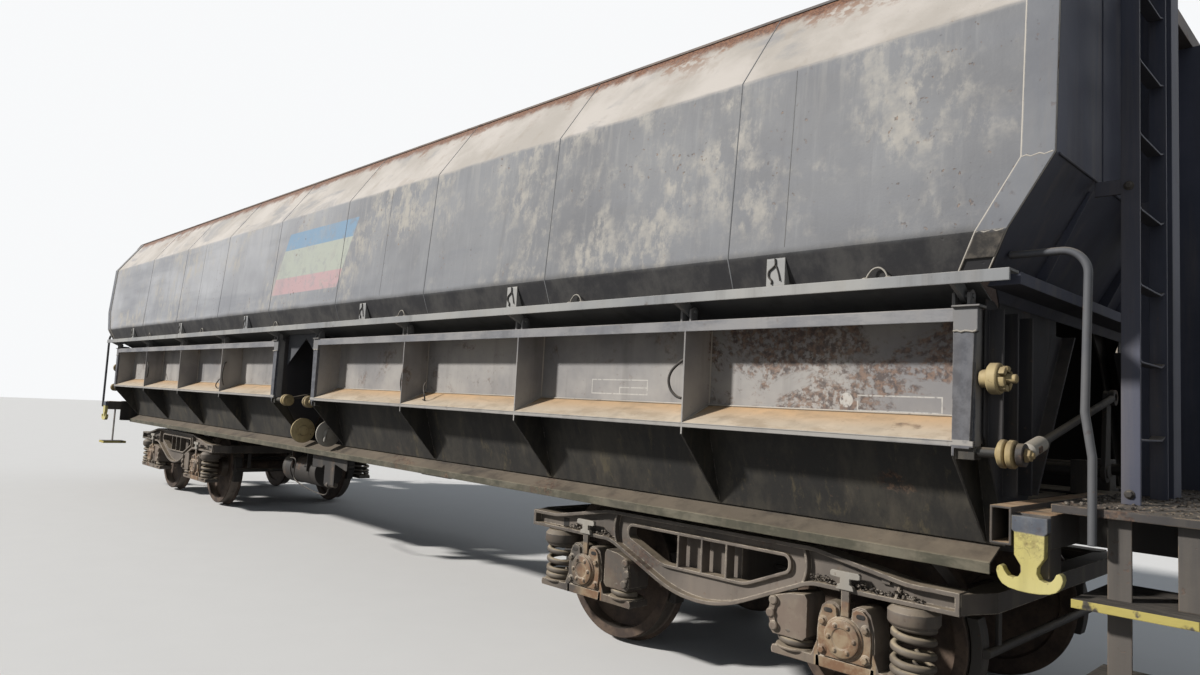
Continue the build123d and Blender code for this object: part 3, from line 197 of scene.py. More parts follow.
def weathered(name, base, faded, worn, rust, speck, dusty, wear, seed, streak=0.15, grime=0.3,
              dust=DUST, tint=None, bevel=0.006, under=0.6):
    """Old paint: fading, streaks, dust on what faces up, rust patches, worn edges, and painted shade on what
    faces down.
    """
    m = Paint(name)
    cloud = m.noise(4.5, 6, 0.65, seed + 3)
    grain = m.noise(60, 4, 0.7, seed + 5)
    colour = m.mix(m.cover(0.36, 0.62, 1.1, 5, 0.6, seed), base, faded)
    if tint:
        colour = tint(m, colour)
    colour = m.veil(colour, dust, m.cover(0.5, 0.72, 9, 5, 0.6, seed + 7, (1, 1, 0.06)), streak)
    colour = m.veil(colour, GRIME_AND_SHADE, m.cover(0.5, 0.7, 7, 5, 0.6, seed + 11, (1, 1, 0.09)), grime)
    colour = m.veil(colour, dust, m.step(m.nz, 0.35, 0.9), m.step(cloud, 0.25, 0.55), dusty)
    patches = m.times(m.cover(0.66 - 0.2 * rust, 0.7, 2.3, 6, 0.62, seed + 13, bend=0.4),
                      m.cover(0.4, 0.56, 26, 4, 0.6, seed + 17))
    specks = m.times(m.cover(0.66, 0.72, 38, 3, 0.5, seed + 19), speck)
    rusty = m.math("MAXIMUM", patches, specks, clamp=True)
    edge, soft = m.edges(bevel)
    colour = m.veil(colour, worn or faded, edge, m.cover(0.38, 0.62, 17, 4, 0.6, seed + 23), wear)
    tone = m.mix(m.step(grain, 0.4, 0.6), RUST_DARK, m.mix(m.step(cloud, 0.4, 0.6), RUST, RUST_PALE))
    colour = m.veil(colour, tone, rusty, min(1.0, 0.55 + rust * 0.5))
    # Painted shade: faces that look down are darkened by the under share.
    colour = m.veil(colour, GRIME_AND_SHADE, m.step(m.nz, -0.25, -0.8), under)
    height = m.plus(m.times(grain, 0.35), m.times(rusty, -0.5))
    return m.finish(colour, m.plus(m.times(rusty, 0.2), 0.64), height, soft)


def flag_patch(m, colour):
    """Three plain slanted bands, faded and chipped."""
    x0, x1, low, pink_top, pale_top, high = -0.79, 0.575, 2.42, 2.577, 2.849, 3.01
    u = m.minus(m.x, m.times(m.minus(m.z, 2.415), 0.42))
    patch = m.times(m.band(u, x0, x1, 0.006), m.band(m.z, low, high, 0.004))
    chips = m.times(m.cover(0.36, 0.5, 9, 6, 0.7, 41, bend=0.6),
                    m.cover(0.3, 0.52, 2.6, 4, 0.6, 44))
    flag = m.mix(m.step(m.z, pale_top - 0.003, pale_top + 0.003), (172, 178, 166), (116, 150, 178))
    flag = m.mix(m.step(m.z, pink_top - 0.003, pink_top + 0.003), (188, 156, 158), flag)
    return m.veil(colour, flag, patch, m.number(chips, 0.42, 0.88))


def wall_bevel(m, grain):
    """Dusty bevel with grey smears, rust drips and a rusty rim."""
    cream = m.mix(m.cover(0.38, 0.62, 1.5, 5, 0.6, 60), (172, 166, 158), (193, 187, 180))
    cream = m.veil(cream, (142, 142, 144), m.cover(0.5, 0.66, 2.6, 6, 0.62, 62, (0.5, 1, 0.9), 0.8), 0.75)
    cream = m.veil(cream, (150, 138, 124), m.cover(0.55, 0.7, 7, 5, 0.62, 63, (1, 1, 0.16)), 0.35)
    scald = m.times(m.cover(0.53, 0.62, 3.4, 6, 0.72, 66, (0.6, 1, 0.5)), m.step(m.z, 3.3, 3.6),
                    m.cover(0.38, 0.52, 24, 4, 0.6, 67))
    cream = m.veil(cream, (132, 96, 72), scald, 0.85)
    rim = m.step(m.plus(m.z, m.times(m.noise(7, 5, 0.65, 69), 0.16)), 3.605, 3.675)
    return m.mix(rim, cream, m.mix(m.step(grain, 0.4, 0.6), (92, 62, 48), (136, 98, 74)))


def wall_paint(m, grain):
    """Grey panel with the patch, under a dusty bevel and over a dark skirt, and its rust."""
    cloud = m.noise(3.2, 6, 0.62, stretch=(0.7, 1, 1))
    # Lighter towards the rear: painted reflection of the sky on the wall, seen at a grazing angle.
    rear = m.step(m.x, 4.2, -3.5)
    base = m.mix(rear, (99, 101, 105), (150, 152, 157))
    faded = m.mix(rear, (122, 124, 127), (174, 176, 180))
    colour = m.mix(m.cover(0.36, 0.64, 0.8, 5, 0.6, 4), base, faded)
    colour = m.veil(colour, (108, 112, 120), m.cover(0.46, 0.66, 2.0, 4, 0.55, 9, (0.16, 1, 1.5)), 0.45)
    mottle = m.times(m.cover(0.44, 0.62, 1.5, 6, 0.68, 21, (0.8, 1, 0.9)),
                     m.cover(0.42, 0.6, 11, 6, 0.7, 23, (1, 1, 0.6)))
    colour = m.veil(colour, (172, 167, 157), mottle, 0.85)
    colour = m.veil(colour, (178, 178, 175), m.cover(0.5, 0.72, 26, 5, 0.65, 2, (1, 1, 0.05)), 0.1)
    drips = m.times(m.cover(0.5, 0.64, 16, 5, 0.6, 6, (1, 1, 0.04)), m.step(m.z, 2.75, 3.16))
    colour = m.veil(colour, (186, 182, 172), drips, 0.14)
    colour = m.veil(colour, (88, 89, 94), m.cover(0.54, 0.76, 9, 6, 0.65, 31, (1, 1, 0.07)), 0.38)
    colour = flag_patch(m, colour)
    specks = m.times(m.cover(0.66, 0.72, 34, 3, 0.5, 50), m.cover(0.46, 0.62, 1.6, 3, 0.5, 52))
    scabs = m.times(m.cover(0.65, 0.71, 3.1, 6, 0.7, 55, bend=0.5),
                    m.cover(0.38, 0.55, 24, 4, 0.6, 57))
    rusty = m.math("MAXIMUM", specks, scabs, clamp=True)
    colour = m.veil(colour, m.mix(m.step(grain, 0.4, 0.6), RUST_DARK, RUST_PALE), rusty, 0.75)
    bevel = m.step(m.plus(m.z, m.times(cloud, 0.05)), 3.18, 3.215)
    colour = m.mix(bevel, colour, wall_bevel(m, grain))
    # Darker below the crease, along the skirt.
    skirt = m.step(m.plus(m.z, m.times(cloud, -0.05)), 2.285, 2.225)
    skirt_tone = m.mix(m.cover(0.4, 0.66, 5, 6, 0.7, 72, (1, 1, 0.7)), (38, 38, 41), (68, 67, 66))
    return m.mix(skirt, colour, skirt_tone), rusty


def wall_material(side, outward):
    """Side wall paint outside, worn steel inside; outward is the sign of y outside."""
    m = Paint(f"side_wall_paint_{side}")
    grain = m.noise(70, 4, 0.7)
    colour, rusty = wall_paint(m, grain)
    inside = m.mix(m.cover(0.38, 0.62, 2.0, 6, 0.65, 80, (1, 1, 0.4)), (84, 62, 50), (122, 104, 90))
    colour = m.mix(m.step(m.times(m.ny, outward), 0.25, -0.25), colour, inside)
    # Painted shade in the crease where the skirt tucks in above the waist rail.
    colour = m.mix(m.step(m.z, 2.125, 2.11), colour, (30, 29, 30))
    height = m.plus(m.times(grain, 0.3), m.times(rusty, -0.6))
    height = m.plus(height, m.times(m.noise(1.3, 3, 0.45, 90, (1, 1, 0.7)), 1.7))
    return m.finish(colour, 0.62, height, m.edges(0.004)[1], strength=0.4, depth=0.006)


def strap_tint(m, colour):
    """Dark grime on the strap below the crease."""
    low = m.step(m.plus(m.z, m.times(m.noise(9, 4, shift=2), 0.02)), 2.285, 2.262)
    return m.mix(low, colour, m.mix(m.cover(0.4, 0.64, 12, 6, 0.7, 4), (58, 56, 54), (104, 98, 90)))


def door_marks(m, panel):
    """Blank outlines and a disc in worn white on the near side."""
    lines = m.frame_lines(((5.29, 5.69, 1.56, 1.635), (3.5, 3.97, 1.595, 1.685), (3.74, 3.97, 1.595, 1.64)),
                          0.006)
    dx, dz = m.minus(m.x, 5.235), m.minus(m.z, 1.608)
    disc = m.step(m.plus(m.times(dx, dx), m.times(dz, dz)), 0.00125, 0.00105)
    return m.times(m.most(lines, disc), m.cover(0.36, 0.5, 40, 5, 0.7, 30), panel,
                   m.step(m.y, 0.1, -0.1))


def door_tint(m, colour):
    """Dusty panels with rust blooms, grey head and stiles, sandy shelf, and a mossy sheet below that is also
    painted dark for the shade under the shelf.
    """
    y = m.size(m.y)
    panel = m.times(m.band(m.z, 1.555, 1.985, 0.012), m.step(y, 1.26, 1.25))
    front = m.band(m.x, 4.4, 5.84, 0.01)
    spread = m.plus(m.noise(1.9, 6, 0.72, 15, (0.9, 1, 1.5), 0.5), m.times(front, 0.12))
    bloom = m.times(m.step(spread, 0.56, 0.65), m.cover(0.42, 0.52, 24, 6, 0.75, 18), panel)
    tone = m.mix(m.cover(0.42, 0.6, 30, 4, 0.7, 20), (66, 52, 48), (124, 98, 80))
    colour = m.veil(colour, tone, bloom, m.number(front, 0.55, 0.85))
    colour = m.veil(colour, (196, 194, 188), door_marks(m, panel), 0.8)
    head = m.times(m.band(m.z, 1.93, 1.984, 0.003), m.step(y, 1.438, 1.441))
    steel = m.mix(m.cover(0.38, 0.62, 6, 6, 0.7, 27, (0.4, 1, 1)), (98, 102, 111), (140, 140, 142))
    colour = m.veil(colour, steel, head, 0.7)
    stiles = m.spans(m.x, ((5.818, 5.935), (0.03, 0.126), (-0.846, -0.745), (-6.56, -6.438)))
    grey = m.mix(m.cover(0.36, 0.64, 14, 6, 0.7, 33), (68, 70, 77), (96, 98, 104))
    grey = m.mix(m.step(m.z, 1.886, 1.896), grey, (118, 118, 119))
    colour = m.veil(colour, grey, stiles, m.step(y, 1.425, 1.429))
    # The lower sheet's dark tone is partly moss and dirt and partly painted shade under the shelf.
    moss = m.mix(m.cover(0.42, 0.64, 4, 6, 0.7, 8, (1, 1, 0.45)), (36, 35, 33), (60, 57, 50))
    moss = m.veil(moss, (92, 84, 64), m.cover(0.56, 0.68, 9, 6, 0.75, 12, (1, 1, 0.25)), 0.55)
    low = m.times(m.step(m.z, 1.442, 1.436), m.step(y, 1.449, 1.447))
    behind = m.times(m.step(m.z, 1.47, 1.46), m.step(y, 1.3, 1.29))
    colour = m.mix(m.most(low, behind), colour, moss)
    lip = m.times(m.step(m.z, 1.438, 1.442), m.step(m.z, 1.462, 1.46), m.step(y, 1.438, 1.441))
    colour = m.veil(colour, (158, 155, 150), lip, m.cover(0.3, 0.45, 16, 5, 0.6, 37))
    shelf = m.times(m.step(m.nz, 0.72, 0.8), m.band(m.z, 1.44, 1.575, 0.006))
    sand = m.mix(m.step(m.z, 1.47, 1.55), (206, 192, 172), (206, 170, 128))
    sand = m.veil(sand, (160, 138, 112), m.cover(0.48, 0.66, 9, 6, 0.7, 5, (0.4, 1, 1)), 0.5)
    return m.mix(shelf, colour, sand)


def sill_tint(m, colour):
    """Pale mossy lip along the sill's outer edge."""
    moss = m.mix(m.cover(0.4, 0.62, 7, 6, 0.7, 51, (0.5, 1, 1)), (66, 64, 50), (104, 99, 84))
    lip = m.step(m.size(m.y), 1.188, 1.192)
    return m.veil(colour, moss, lip, m.cover(0.22, 0.42, 3, 6, 0.7, 53))


def hook_tint(m, colour):
    """Blue-grey head of the hook over scuffed yellow."""
    blue = m.mix(m.cover(0.4, 0.6, 9, 5, 0.6, 3), (78, 84, 94), (104, 110, 118))
    scuff = m.times(m.cover(0.52, 0.62, 42, 5, 0.75, 8, bend=1.5), m.step(m.z, 1.02, 1.06))
    colour = m.veil(colour, (126, 116, 72), scuff, 0.5)
    return m.mix(m.step(m.plus(m.z, m.times(m.noise(8, 4, shift=6), 0.02)), 1.146, 1.154), colour, blue)


def beam_tint(m, colour):
    """Sandy rust on top of the hook's block."""
    sand = m.mix(m.cover(0.38, 0.62, 12, 6, 0.7, 4), (150, 112, 82), (190, 164, 132))
    return m.veil(colour, sand, m.step(m.nz, 0.6, 0.9), m.cover(0.3, 0.45, 6, 5, shift=9))


def bogie_tint(m, colour):
    """Orange rust on the axle box faces, painted shade on the inner parts."""
    out = m.step(m.size(m.y), 1.098, 1.104)
    boxes = m.spans(m.x, ((-5.77, -5.45), (-3.97, -3.65), (3.23, 3.55), (5.03, 5.35)))
    face = m.times(out, m.step(m.z, 0.665, 0.65), m.number(boxes, 0.25, 1.0))
    orange = m.mix(m.cover(0.4, 0.62, 9, 6, 0.7, 31), (124, 90, 62), (156, 136, 108))
    colour = m.veil(colour, orange, face, m.cover(0.35, 0.55, 3.5, 5, 0.6, 33), 0.85)
    # Painted shade: the inner parts, between the side frames, are darkened.
    return m.veil(colour, GRIME_AND_SHADE, m.step(m.size(m.y), 0.98, 0.9), 0.6)


def wheel_material():
    """Rusty wheel and axle with a bright tread."""
    m = Paint("wheel_steel")
    grain = m.noise(50, 5, 0.7)
    cloud = m.noise(6, 6, 0.65, 3)
    colour = m.mix(m.step(cloud, 0.38, 0.62), (62, 50, 43), (94, 78, 65))
    colour = m.veil(colour, (44, 36, 32), m.step(grain, 0.5, 0.7), 0.5)
    tread = m.times(m.step(m.size(m.ny), 0.5, 0.3), m.band(m.size(m.y), 0.712, 0.812, 0.006))
    colour = m.veil(colour, (150, 142, 134), tread, m.step(cloud, 0.25, 0.5), 0.8)
    metal = m.times(tread, 0.8)
    return m.finish(colour, m.number(metal, 0.72, 0.34), m.times(grain, 0.4), strength=0.3, metallic=metal)


def wood_material():
    """Weathered board with split grain and a yellow painted edge."""
    m = Paint("step_wood")
    grain = m.noise(11, 6, 0.65, stretch=(1, 9, 3), bend=0.3)
    fine = m.noise(60, 5, 0.7, 4, (0.4, 4, 1))
    colour = m.mix(m.step(grain, 0.36, 0.64), (48, 45, 42), (92, 86, 78))
    colour = m.veil(colour, (44, 40, 37), m.step(fine, 0.5, 0.68), 0.6)
    side = m.times(m.step(m.size(m.nz), 0.5, 0.2), m.cover(0.32, 0.42, 14, 5, 0.6, 12))
    colour = m.veil(colour, (186, 172, 96), side, 0.9)
    height = m.plus(m.times(grain, 0.7), m.times(fine, 0.5))
    return m.finish(colour, 0.82, height, m.edges(0.005)[1], strength=0.6, depth=0.005)


def gravel_material():
    """Loose stones and cinders, each of its own tone."""
    m = Paint("gravel")
    tone = m.noise(55, 2, 0.5)
    colour = m.mix(m.step(tone, 0.4, 0.52), (50, 46, 43), (98, 90, 81))
    colour = m.mix(m.step(tone, 0.56, 0.66), colour, (150, 142, 131))
    return m.finish(colour, 0.9, m.noise(120, 3, 0.6), strength=0.4)


def steel_inside():
    """Floor and ridge in the load space: scoured rusty steel, with painted shade underneath."""
    m = Paint("load_space_steel")
    cloud = m.noise(1.8, 6, 0.65)
    grain = m.noise(55, 5, 0.7, 2)
    colour = m.mix(m.step(cloud, 0.36, 0.64), (86, 62, 48), (126, 100, 80))
    colour = m.veil(colour, (148, 132, 114), m.cover(0.5, 0.7, 8, 6, 0.65, 5, (1, 0.12, 0.12)), 0.6)
    colour = m.veil(colour, (60, 44, 36), m.step(grain, 0.52, 0.7), 0.45)
    # Painted shade on faces that look down.
    colour = m.mix(m.step(m.nz, 0.1, -0.2), colour, (34, 31, 30))
    outer = m.times(m.step(m.size(m.y), 1.3, 1.31), m.step(m.z, 2.13, 2.12))
    colour = m.mix(outer, colour, m.mix(m.step(cloud, 0.4, 0.6), (58, 61, 68), (80, 82, 86)))
    return m.finish(colour, 0.7, grain, m.edges(0.005)[1])


# Paints in the order of their seeds: name, base, faded and worn edge colour, then rust,
# specks, dust and wear of the edges.
PAINTS = {
    "rail": ("waist_rail_paint", (134, 136, 138), (158, 158, 155), (180, 176, 168), 0.12, 0.35, 0.6, 0.9),
    "strap": ("corner_strap_paint", (92, 95, 102), (114, 117, 122), (176, 170, 160), 0.25, 0.4, 0.4, 0.8),
    # The end paint is darkened to stand for the shade on the ends.
    "end": ("end_wall_paint", (56, 60, 75), (73, 76, 91), (96, 92, 90), 0.05, 0.2, 0.5, 0.4),
    "top": ("top_rail_paint", (86, 80, 78), (112, 98, 88), (134, 102, 78), 0.85, 0.6, 0.6, 0.7),
    "door": ("door_paint", (128, 127, 128), (164, 161, 157), (176, 171, 162), 0.1, 0.3, 0.3, 0.85),
    "frame": ("underframe_paint", (42, 40, 39), (58, 54, 50), (100, 86, 74), 0.45, 0.4, 0.7, 0.5),
    "sill": ("chute_sill_paint", (56, 51, 47), (78, 70, 61), (140, 132, 112), 0.5, 0.4, 0.35, 0.9),
    "bogie": ("bogie_casting", (84, 78, 72), (118, 109, 100), (186, 174, 156), 0.45, 0.4, 0.9, 1.9),
    "yellow": ("nut_paint", (150, 130, 88), (186, 168, 124), (104, 80, 54), 1.1, 0.9, 0.3, 0.6),
    "hook": ("hook_two_tone", (186, 174, 98), (204, 195, 132), (140, 124, 80), 0.25, 0.5, 0.3, 0.5),
    "hook_beam": ("hook_beam_paint", (66, 63, 61), (88, 83, 78), (140, 120, 98), 0.4, 0.5, 0.3, 0.9),
    "pipe": ("handrail_paint", (72, 75, 82), (96, 97, 99), None, 0.3, 0.5, 0.4, 0.3),
    "dark": ("dark_steel", (40, 38, 37), (60, 56, 52), (112, 104, 94), 0.5, 0.5, 0.5, 0.7),
    "pale": ("pale_steel", (146, 142, 134), (172, 167, 157), (192, 187, 176), 0.35, 0.6, 0.4, 0.5),
    "floor": ("platform_floor_steel", (48, 46, 46), (68, 64, 62), (160, 140, 114), 0.5, 0.5, 0.2, 1.0),
    "spring": ("spring_steel", (78, 71, 65), (118, 108, 95), None, 0.4, 0.5, 1.0, 0.3),
    "seam": ("seam_paint", (96, 98, 103), (122, 123, 125), None, 0.2, 0.3, 0.2, 0.2),
    # Chute plate paint is darkened to stand for the shade under the body.
    "gloom": ("chute_plate_paint", (33, 33, 37), (46, 45, 49), (78, 74, 72), 0.2, 0.3, 0.4, 0.5),
    "guard": ("guard_rail_paint", (168, 154, 88), (190, 178, 118), (120, 96, 66), 0.55, 0.5, 0.3, 0.9),
    "weld": ("weld_paint", (168, 162, 152), (190, 184, 174), None, 0.2, 0.5, 0.2, 0.2),
    # Near-black patches that paint the shade inside holes and pockets.
    "soot": ("soot_holes", (20, 19, 18), (30, 28, 26), None, 0.1, 0.1, 0.0, 0.0),
}
# Each under share sets how much painted shade falls on faces that look down.
OWN = {
    "strap": {"tint": strap_tint}, "end": {"under": 0.7}, "sill": {"tint": sill_tint},
    "door": {"tint": door_tint, "streak": 0.08, "grime": 0.2, "under": 0.8},
    "bogie": {"tint": bogie_tint, "bevel": 0.008}, "hook": {"tint": hook_tint},
    "hook_beam": {"tint": beam_tint}, "pale": {"grime": 0.15}, "weld": {"grime": 0.1},
    "spring": {"dust": (172, 158, 134)},
}
MAT = {key: weathered(*row, seed, **OWN.get(key, {})) for seed, (key, row) in enumerate(PAINTS.items(), 1)}
MAT |= {"wheel": wheel_material(), "wood": wood_material(), "gravel": gravel_material(),
        "inside": steel_inside(), "wall_near": wall_material("near", -1), "wall_far": wall_material("far", 1)}

NODES_OF = {
    "wall_near": "side_wall_near", "wall_far": "side_wall_far", "strap": "corner_straps",
    "end": "end_wall_front end_wall_rear end_beams end_posts ladder brake_column", "top": "top_rails",
    "inside": "saddle middle_ridge", "gloom": "chute_plates", "rail": "waist_rails wall_gussets door_hinges",
    "frame": "centre_sill cross_bearers saddle_frames headstocks air_tanks centre_brackets",
    "sill": "chute_sills", "floor": "platform_floor", "guard": "platform_rail hand_wheel",
    "pipe": "handrails", "wood": "step_boards", "hook_beam": "step_hangers hook_beams", "hook": "tow_hooks",
}
FAMILIES = {"door_": "door", "wheelset": "wheel", "bogie": "bogie", "axle": "bogie"}


def material_of(node):
    """Material name of a CAD node."""
    for name, nodes in NODES_OF.items():
        if node in nodes.split():
            return name
    return next((name for start, name in FAMILIES.items() if node.startswith(start)), "dark")


for node_name, node_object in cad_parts.items():
    node_object.data.materials.clear()
    node_object.data.materials.append(MAT[material_of(node_name)])


# Mesh building

def in_scene(name, data):
    obj = bpy.data.objects.new(name, data)
    bpy.context.scene.collection.objects.link(obj)
    return obj


def square_to(axis):
    """Unit vector at right angles to an axis."""
    return axis.cross(Vector((0, 0, 1) if abs(axis.z) < 0.9 else (1, 0, 0))).normalized()


def smooth_path(points, steps=6):
    """Catmull-Rom curve through points."""
    pts = [Vector(p) for p in points]
    n = len(pts)
    out = []
    for i in range(n - 1):
        p0, p1, p2, p3 = pts[max(i - 1, 0)], pts[i], pts[i + 1], pts[min(i + 2, n - 1)]
        for k in range(steps):
            t = k / steps
            out.append(0.5 * ((2 * p1) + (p2 - p0) * t + (2 * p0 - 5 * p1 + 4 * p2 - p3) * t * t
                              + (3 * p1 - p0 - 3 * p2 + p3) * t ** 3))
    out.append(pts[-1])
    return out


def corner(e, s, x0=0.0):
    """Point maker for one corner: x runs along e from x0, and y along s."""
    return lambda x, y, z: Vector((x0 + e * x, s * y, z))


class Shape:
    """Mesh in the making, laid out in the wagon's own metres."""

    def __init__(self):
        self.bm = bmesh.new()

    def face_set(self, points, faces):
        verts = [self.bm.verts.new(p) for p in points]
        for f in faces:
            self.bm.faces.new([verts[i] for i in f])

    def block(self, low, high):
        """Box between two corners."""
        xs, ys, zs = (sorted(pair) for pair in zip(low, high))
        p = [(x, y, z) for x in xs for y in ys for z in zs]
        self.face_set(p, [(0, 1, 3, 2), (4, 6, 7, 5), (0, 4, 5, 1), (2, 3, 7, 6), (0, 2, 6, 4), (1, 5, 7, 3)])

    def prism(self, outline, run):
        """Closed outline of 3-D points swept along a vector."""
        run = Vector(run)
        a = [Vector(p) for p in outline]
        b = [p + run for p in a]
        normal = sum((p.cross(q) for p, q in zip(a, a[1:] + a[:1])), Vector((0, 0, 0)))
        if normal.dot(run) > 0:
            a, b = b, a
        n = len(a)
        faces = [tuple(range(n)), tuple(range(2 * n - 1, n - 1, -1))]
        faces += [(i, i + n, (i + 1) % n + n, (i + 1) % n) for i in range(n)]
        self.face_set(a + b, faces)

    def ring(self, centre, u, v, radius, sides):
        turns = [tau * k / sides for k in range(sides)]
        return [self.bm.verts.new(centre + (u * cos(a) + v * sin(a)) * radius) for a in turns]

    def skin(self, rings, sides):
        """Faces between the rings, and a cap at each end."""
        for a, b in zip(rings, rings[1:]):
            for k in range(sides):
                j = (k + 1) % sides
                self.bm.faces.new((a[k], a[j], b[j], b[k]))
        self.bm.faces.new(rings[0][::-1])
        self.bm.faces.new(rings[-1])

    def tube(self, points, radius, sides=6):
        """Round bar along points, closed at both ends."""
        pts = [Vector(p) for p in points]
        rings, u = [], None
        for i, p in enumerate(pts):
            t = (pts[min(i + 1, len(pts) - 1)] - pts[max(i - 1, 0)]).normalized()
            u = square_to(t) if u is None else (u - t * u.dot(t)).normalized()
            rings.append(self.ring(p, u, t.cross(u), radius, sides))
        self.skin(rings, sides)

    def wire(self, points, radius, sides=8, steps=6):
        """Round bar along a smooth curve."""
        self.tube(smooth_path(points, steps), radius, sides)

    def lathe(self, place, axis, profile, sides):
        """Solid of revolution: profile of (distance along the axis, radius)."""
        place, axis = Vector(place), Vector(axis).normalized()
        u = square_to(axis)
        v = axis.cross(u)
        self.skin([self.ring(place + axis * d, u, v, r, sides) for d, r in profile], sides)

    def bolt(self, place, axis, across, height):
        """Hexagon head on a washer."""
        r = across / sqrt(3)
        axis = Vector(axis).normalized()
        self.lathe(place, axis, [(-0.002, r * 1.35), (0.003, r * 1.35), (0.0035, r * 1.25)], 14)
        self.lathe(Vector(place) + axis * 0.003, axis, [(0, r), (height * 0.8, r), (height, r * 0.8)], 6)

    def stone(self, place, size, rng):
        """Small irregular lump."""
        made = bmesh.ops.create_icosphere(self.bm, subdivisions=1, radius=size)
        spin = Matrix.Rotation(rng.uniform(0, 6.28), 4, (rng.random(), rng.random(), rng.random() + 0.1))
        for vert in made["verts"]:
            vert.co = spin @ (vert.co * rng.uniform(0.7, 1.15))
            vert.co.z *= 0.7
            vert.co += Vector(place)

    def done(self, name, material, body="wagon", slot="frame", angle=35, bevel=0.0):
        if bevel:
            edges = [e for e in self.bm.edges if len(e.link_faces) == 2
                     and e.calc_face_angle(0) > radians(40)]
            bmesh.ops.bevel(self.bm, geom=edges, offset=bevel, segments=2, affect="EDGES",
                            clamp_overlap=True, profile=0.6)
        bmesh.ops.recalc_face_normals(self.bm, faces=self.bm.faces)
        for vert in self.bm.verts:
            vert.co += ORIGIN
        mesh = bpy.data.meshes.new(name)
        self.bm.to_mesh(mesh)
        self.bm.free()
        mesh.polygons.foreach_set("use_smooth", [True] * len(mesh.polygons))
        mesh.set_sharp_from_angle(angle=radians(angle))
        mesh.materials.append(MAT[material])
        obj = in_scene(name, mesh)
        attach(obj, body)
        return obj


# Body details

def on_wall(z, out=0.0):
    """Distance from the middle to the side wall's outer face at a height."""
    for (y0, z0), (y1, z1) in zip(WALL, WALL[1:]):
        if z0 <= z <= z1:
            return y0 + (y1 - y0) * (z - z0) / (z1 - z0) + out
    return WALL[-1][0] + out


def seam_beads():
    """Welded sheet joints down the side walls, outside and in, and short seams between them."""
    low, high = 2.27, 3.13
    for side, s in SIDES:
        shape = Shape()
        for x in SEAMS:
            shape.tube([(x, s * (y - 0.0015), z) for y, z in WALL], 0.0045)
            shape.tube([(x, s * (y - 0.0085), z + 0.002) for y, z in WALL[1:]], 0.005)
        for x in (5.39, 1.66, -2.6):
            shape.tube([(x, s * on_wall(z, -0.001), z) for z in (low, (low + high) / 2, high)], 0.0026)
        shape.done(f"wall_seams_{side}", "seam", slot="shell")


def strap_beads():
    """Pale welds along both edges of each corner strap, and its cross seams."""
    shape = Shape()
    stations = (2.094, 2.16, 2.241, 2.35, 2.51, 2.7, 2.9, 3.145, 3.3, 3.45, 3.59)
    for tag, s, e in CORNERS:
        def edge(z, inset):
            x = END_X - END_SLOPE * max(0.0, END_BEND_Z - z) - inset
            return Vector((e * x, s * on_wall(z, 0.0035), z))
        shape.tube([edge(z, 0.117) for z in stations], 0.0045)
        shape.tube([edge(z, 0.001) for z in stations], 0.0035)
        for z in (2.508, 2.236):
            a, b = edge(z, 0.113), edge(z, 0.004)
            wave = [a.lerp(b, k / 7) + Vector((0, s * 0.002, 0.004 * sin(k * 2.1))) for k in range(8)]
            shape.tube(wave, 0.004)
    shape.done("strap_welds", "weld", slot="pale")


def rail_fittings():
    """Bent wire handles on the gussets and small wire loops standing on the rail."""
    wires, loops = Shape(), Shape()
    handle = ((-0.002, 2.218), (0, 2.19), (-0.014, 2.176), (-0.034, 2.16), (-0.035, 2.135),
              (-0.018, 2.115), (-0.02, 2.098))
    spur = ((0.004, 2.185), (0.018, 2.15), (0.028, 2.112))
    arc = ((-0.05, 2.092), (-0.04, 2.112), (-0.018, 2.133), (0.01, 2.136), (0.034, 2.118), (0.046, 2.092))
    foot = ((0, 0.017), (0.005, 0.015), (0.009, 0.007))
    for s in (-1, 1):
        for x in GUSSETS:
            for bend, radius in ((handle, 0.0042), (spur, 0.0032)):
                wires.wire([(x + dx, s * 1.5535, z) for dx, z in bend], radius)
        for x in LOOPS:
            loops.wire([(x + dx, s * 1.528, z) for dx, z in arc], 0.004)
            for dx in (-0.055, 0.05):
                loops.lathe((x + dx, s * 1.528, 2.089), (0, 0, 1), foot, 10)
    wires.done("gusset_wires", "dark")
    loops.done("rail_loops", "pale", slot="pale")


def crown(shape, place, out, radius, depth):
    """Ring of six teeth facing out along x."""
    place = Vector(place)
    for k in range(6):
        a = tau * k / 6 + 0.3
        tooth = [(radius, t) for t in (-0.38, -0.13, 0.13, 0.38)]
        tooth += [(radius * 0.55, t) for t in (0.38, 0, -0.38)]
        shape.prism([place + Vector((0, cos(a + t) * r, sin(a + t) * r)) for r, t in tooth],
                    (out * depth, 0, 0))


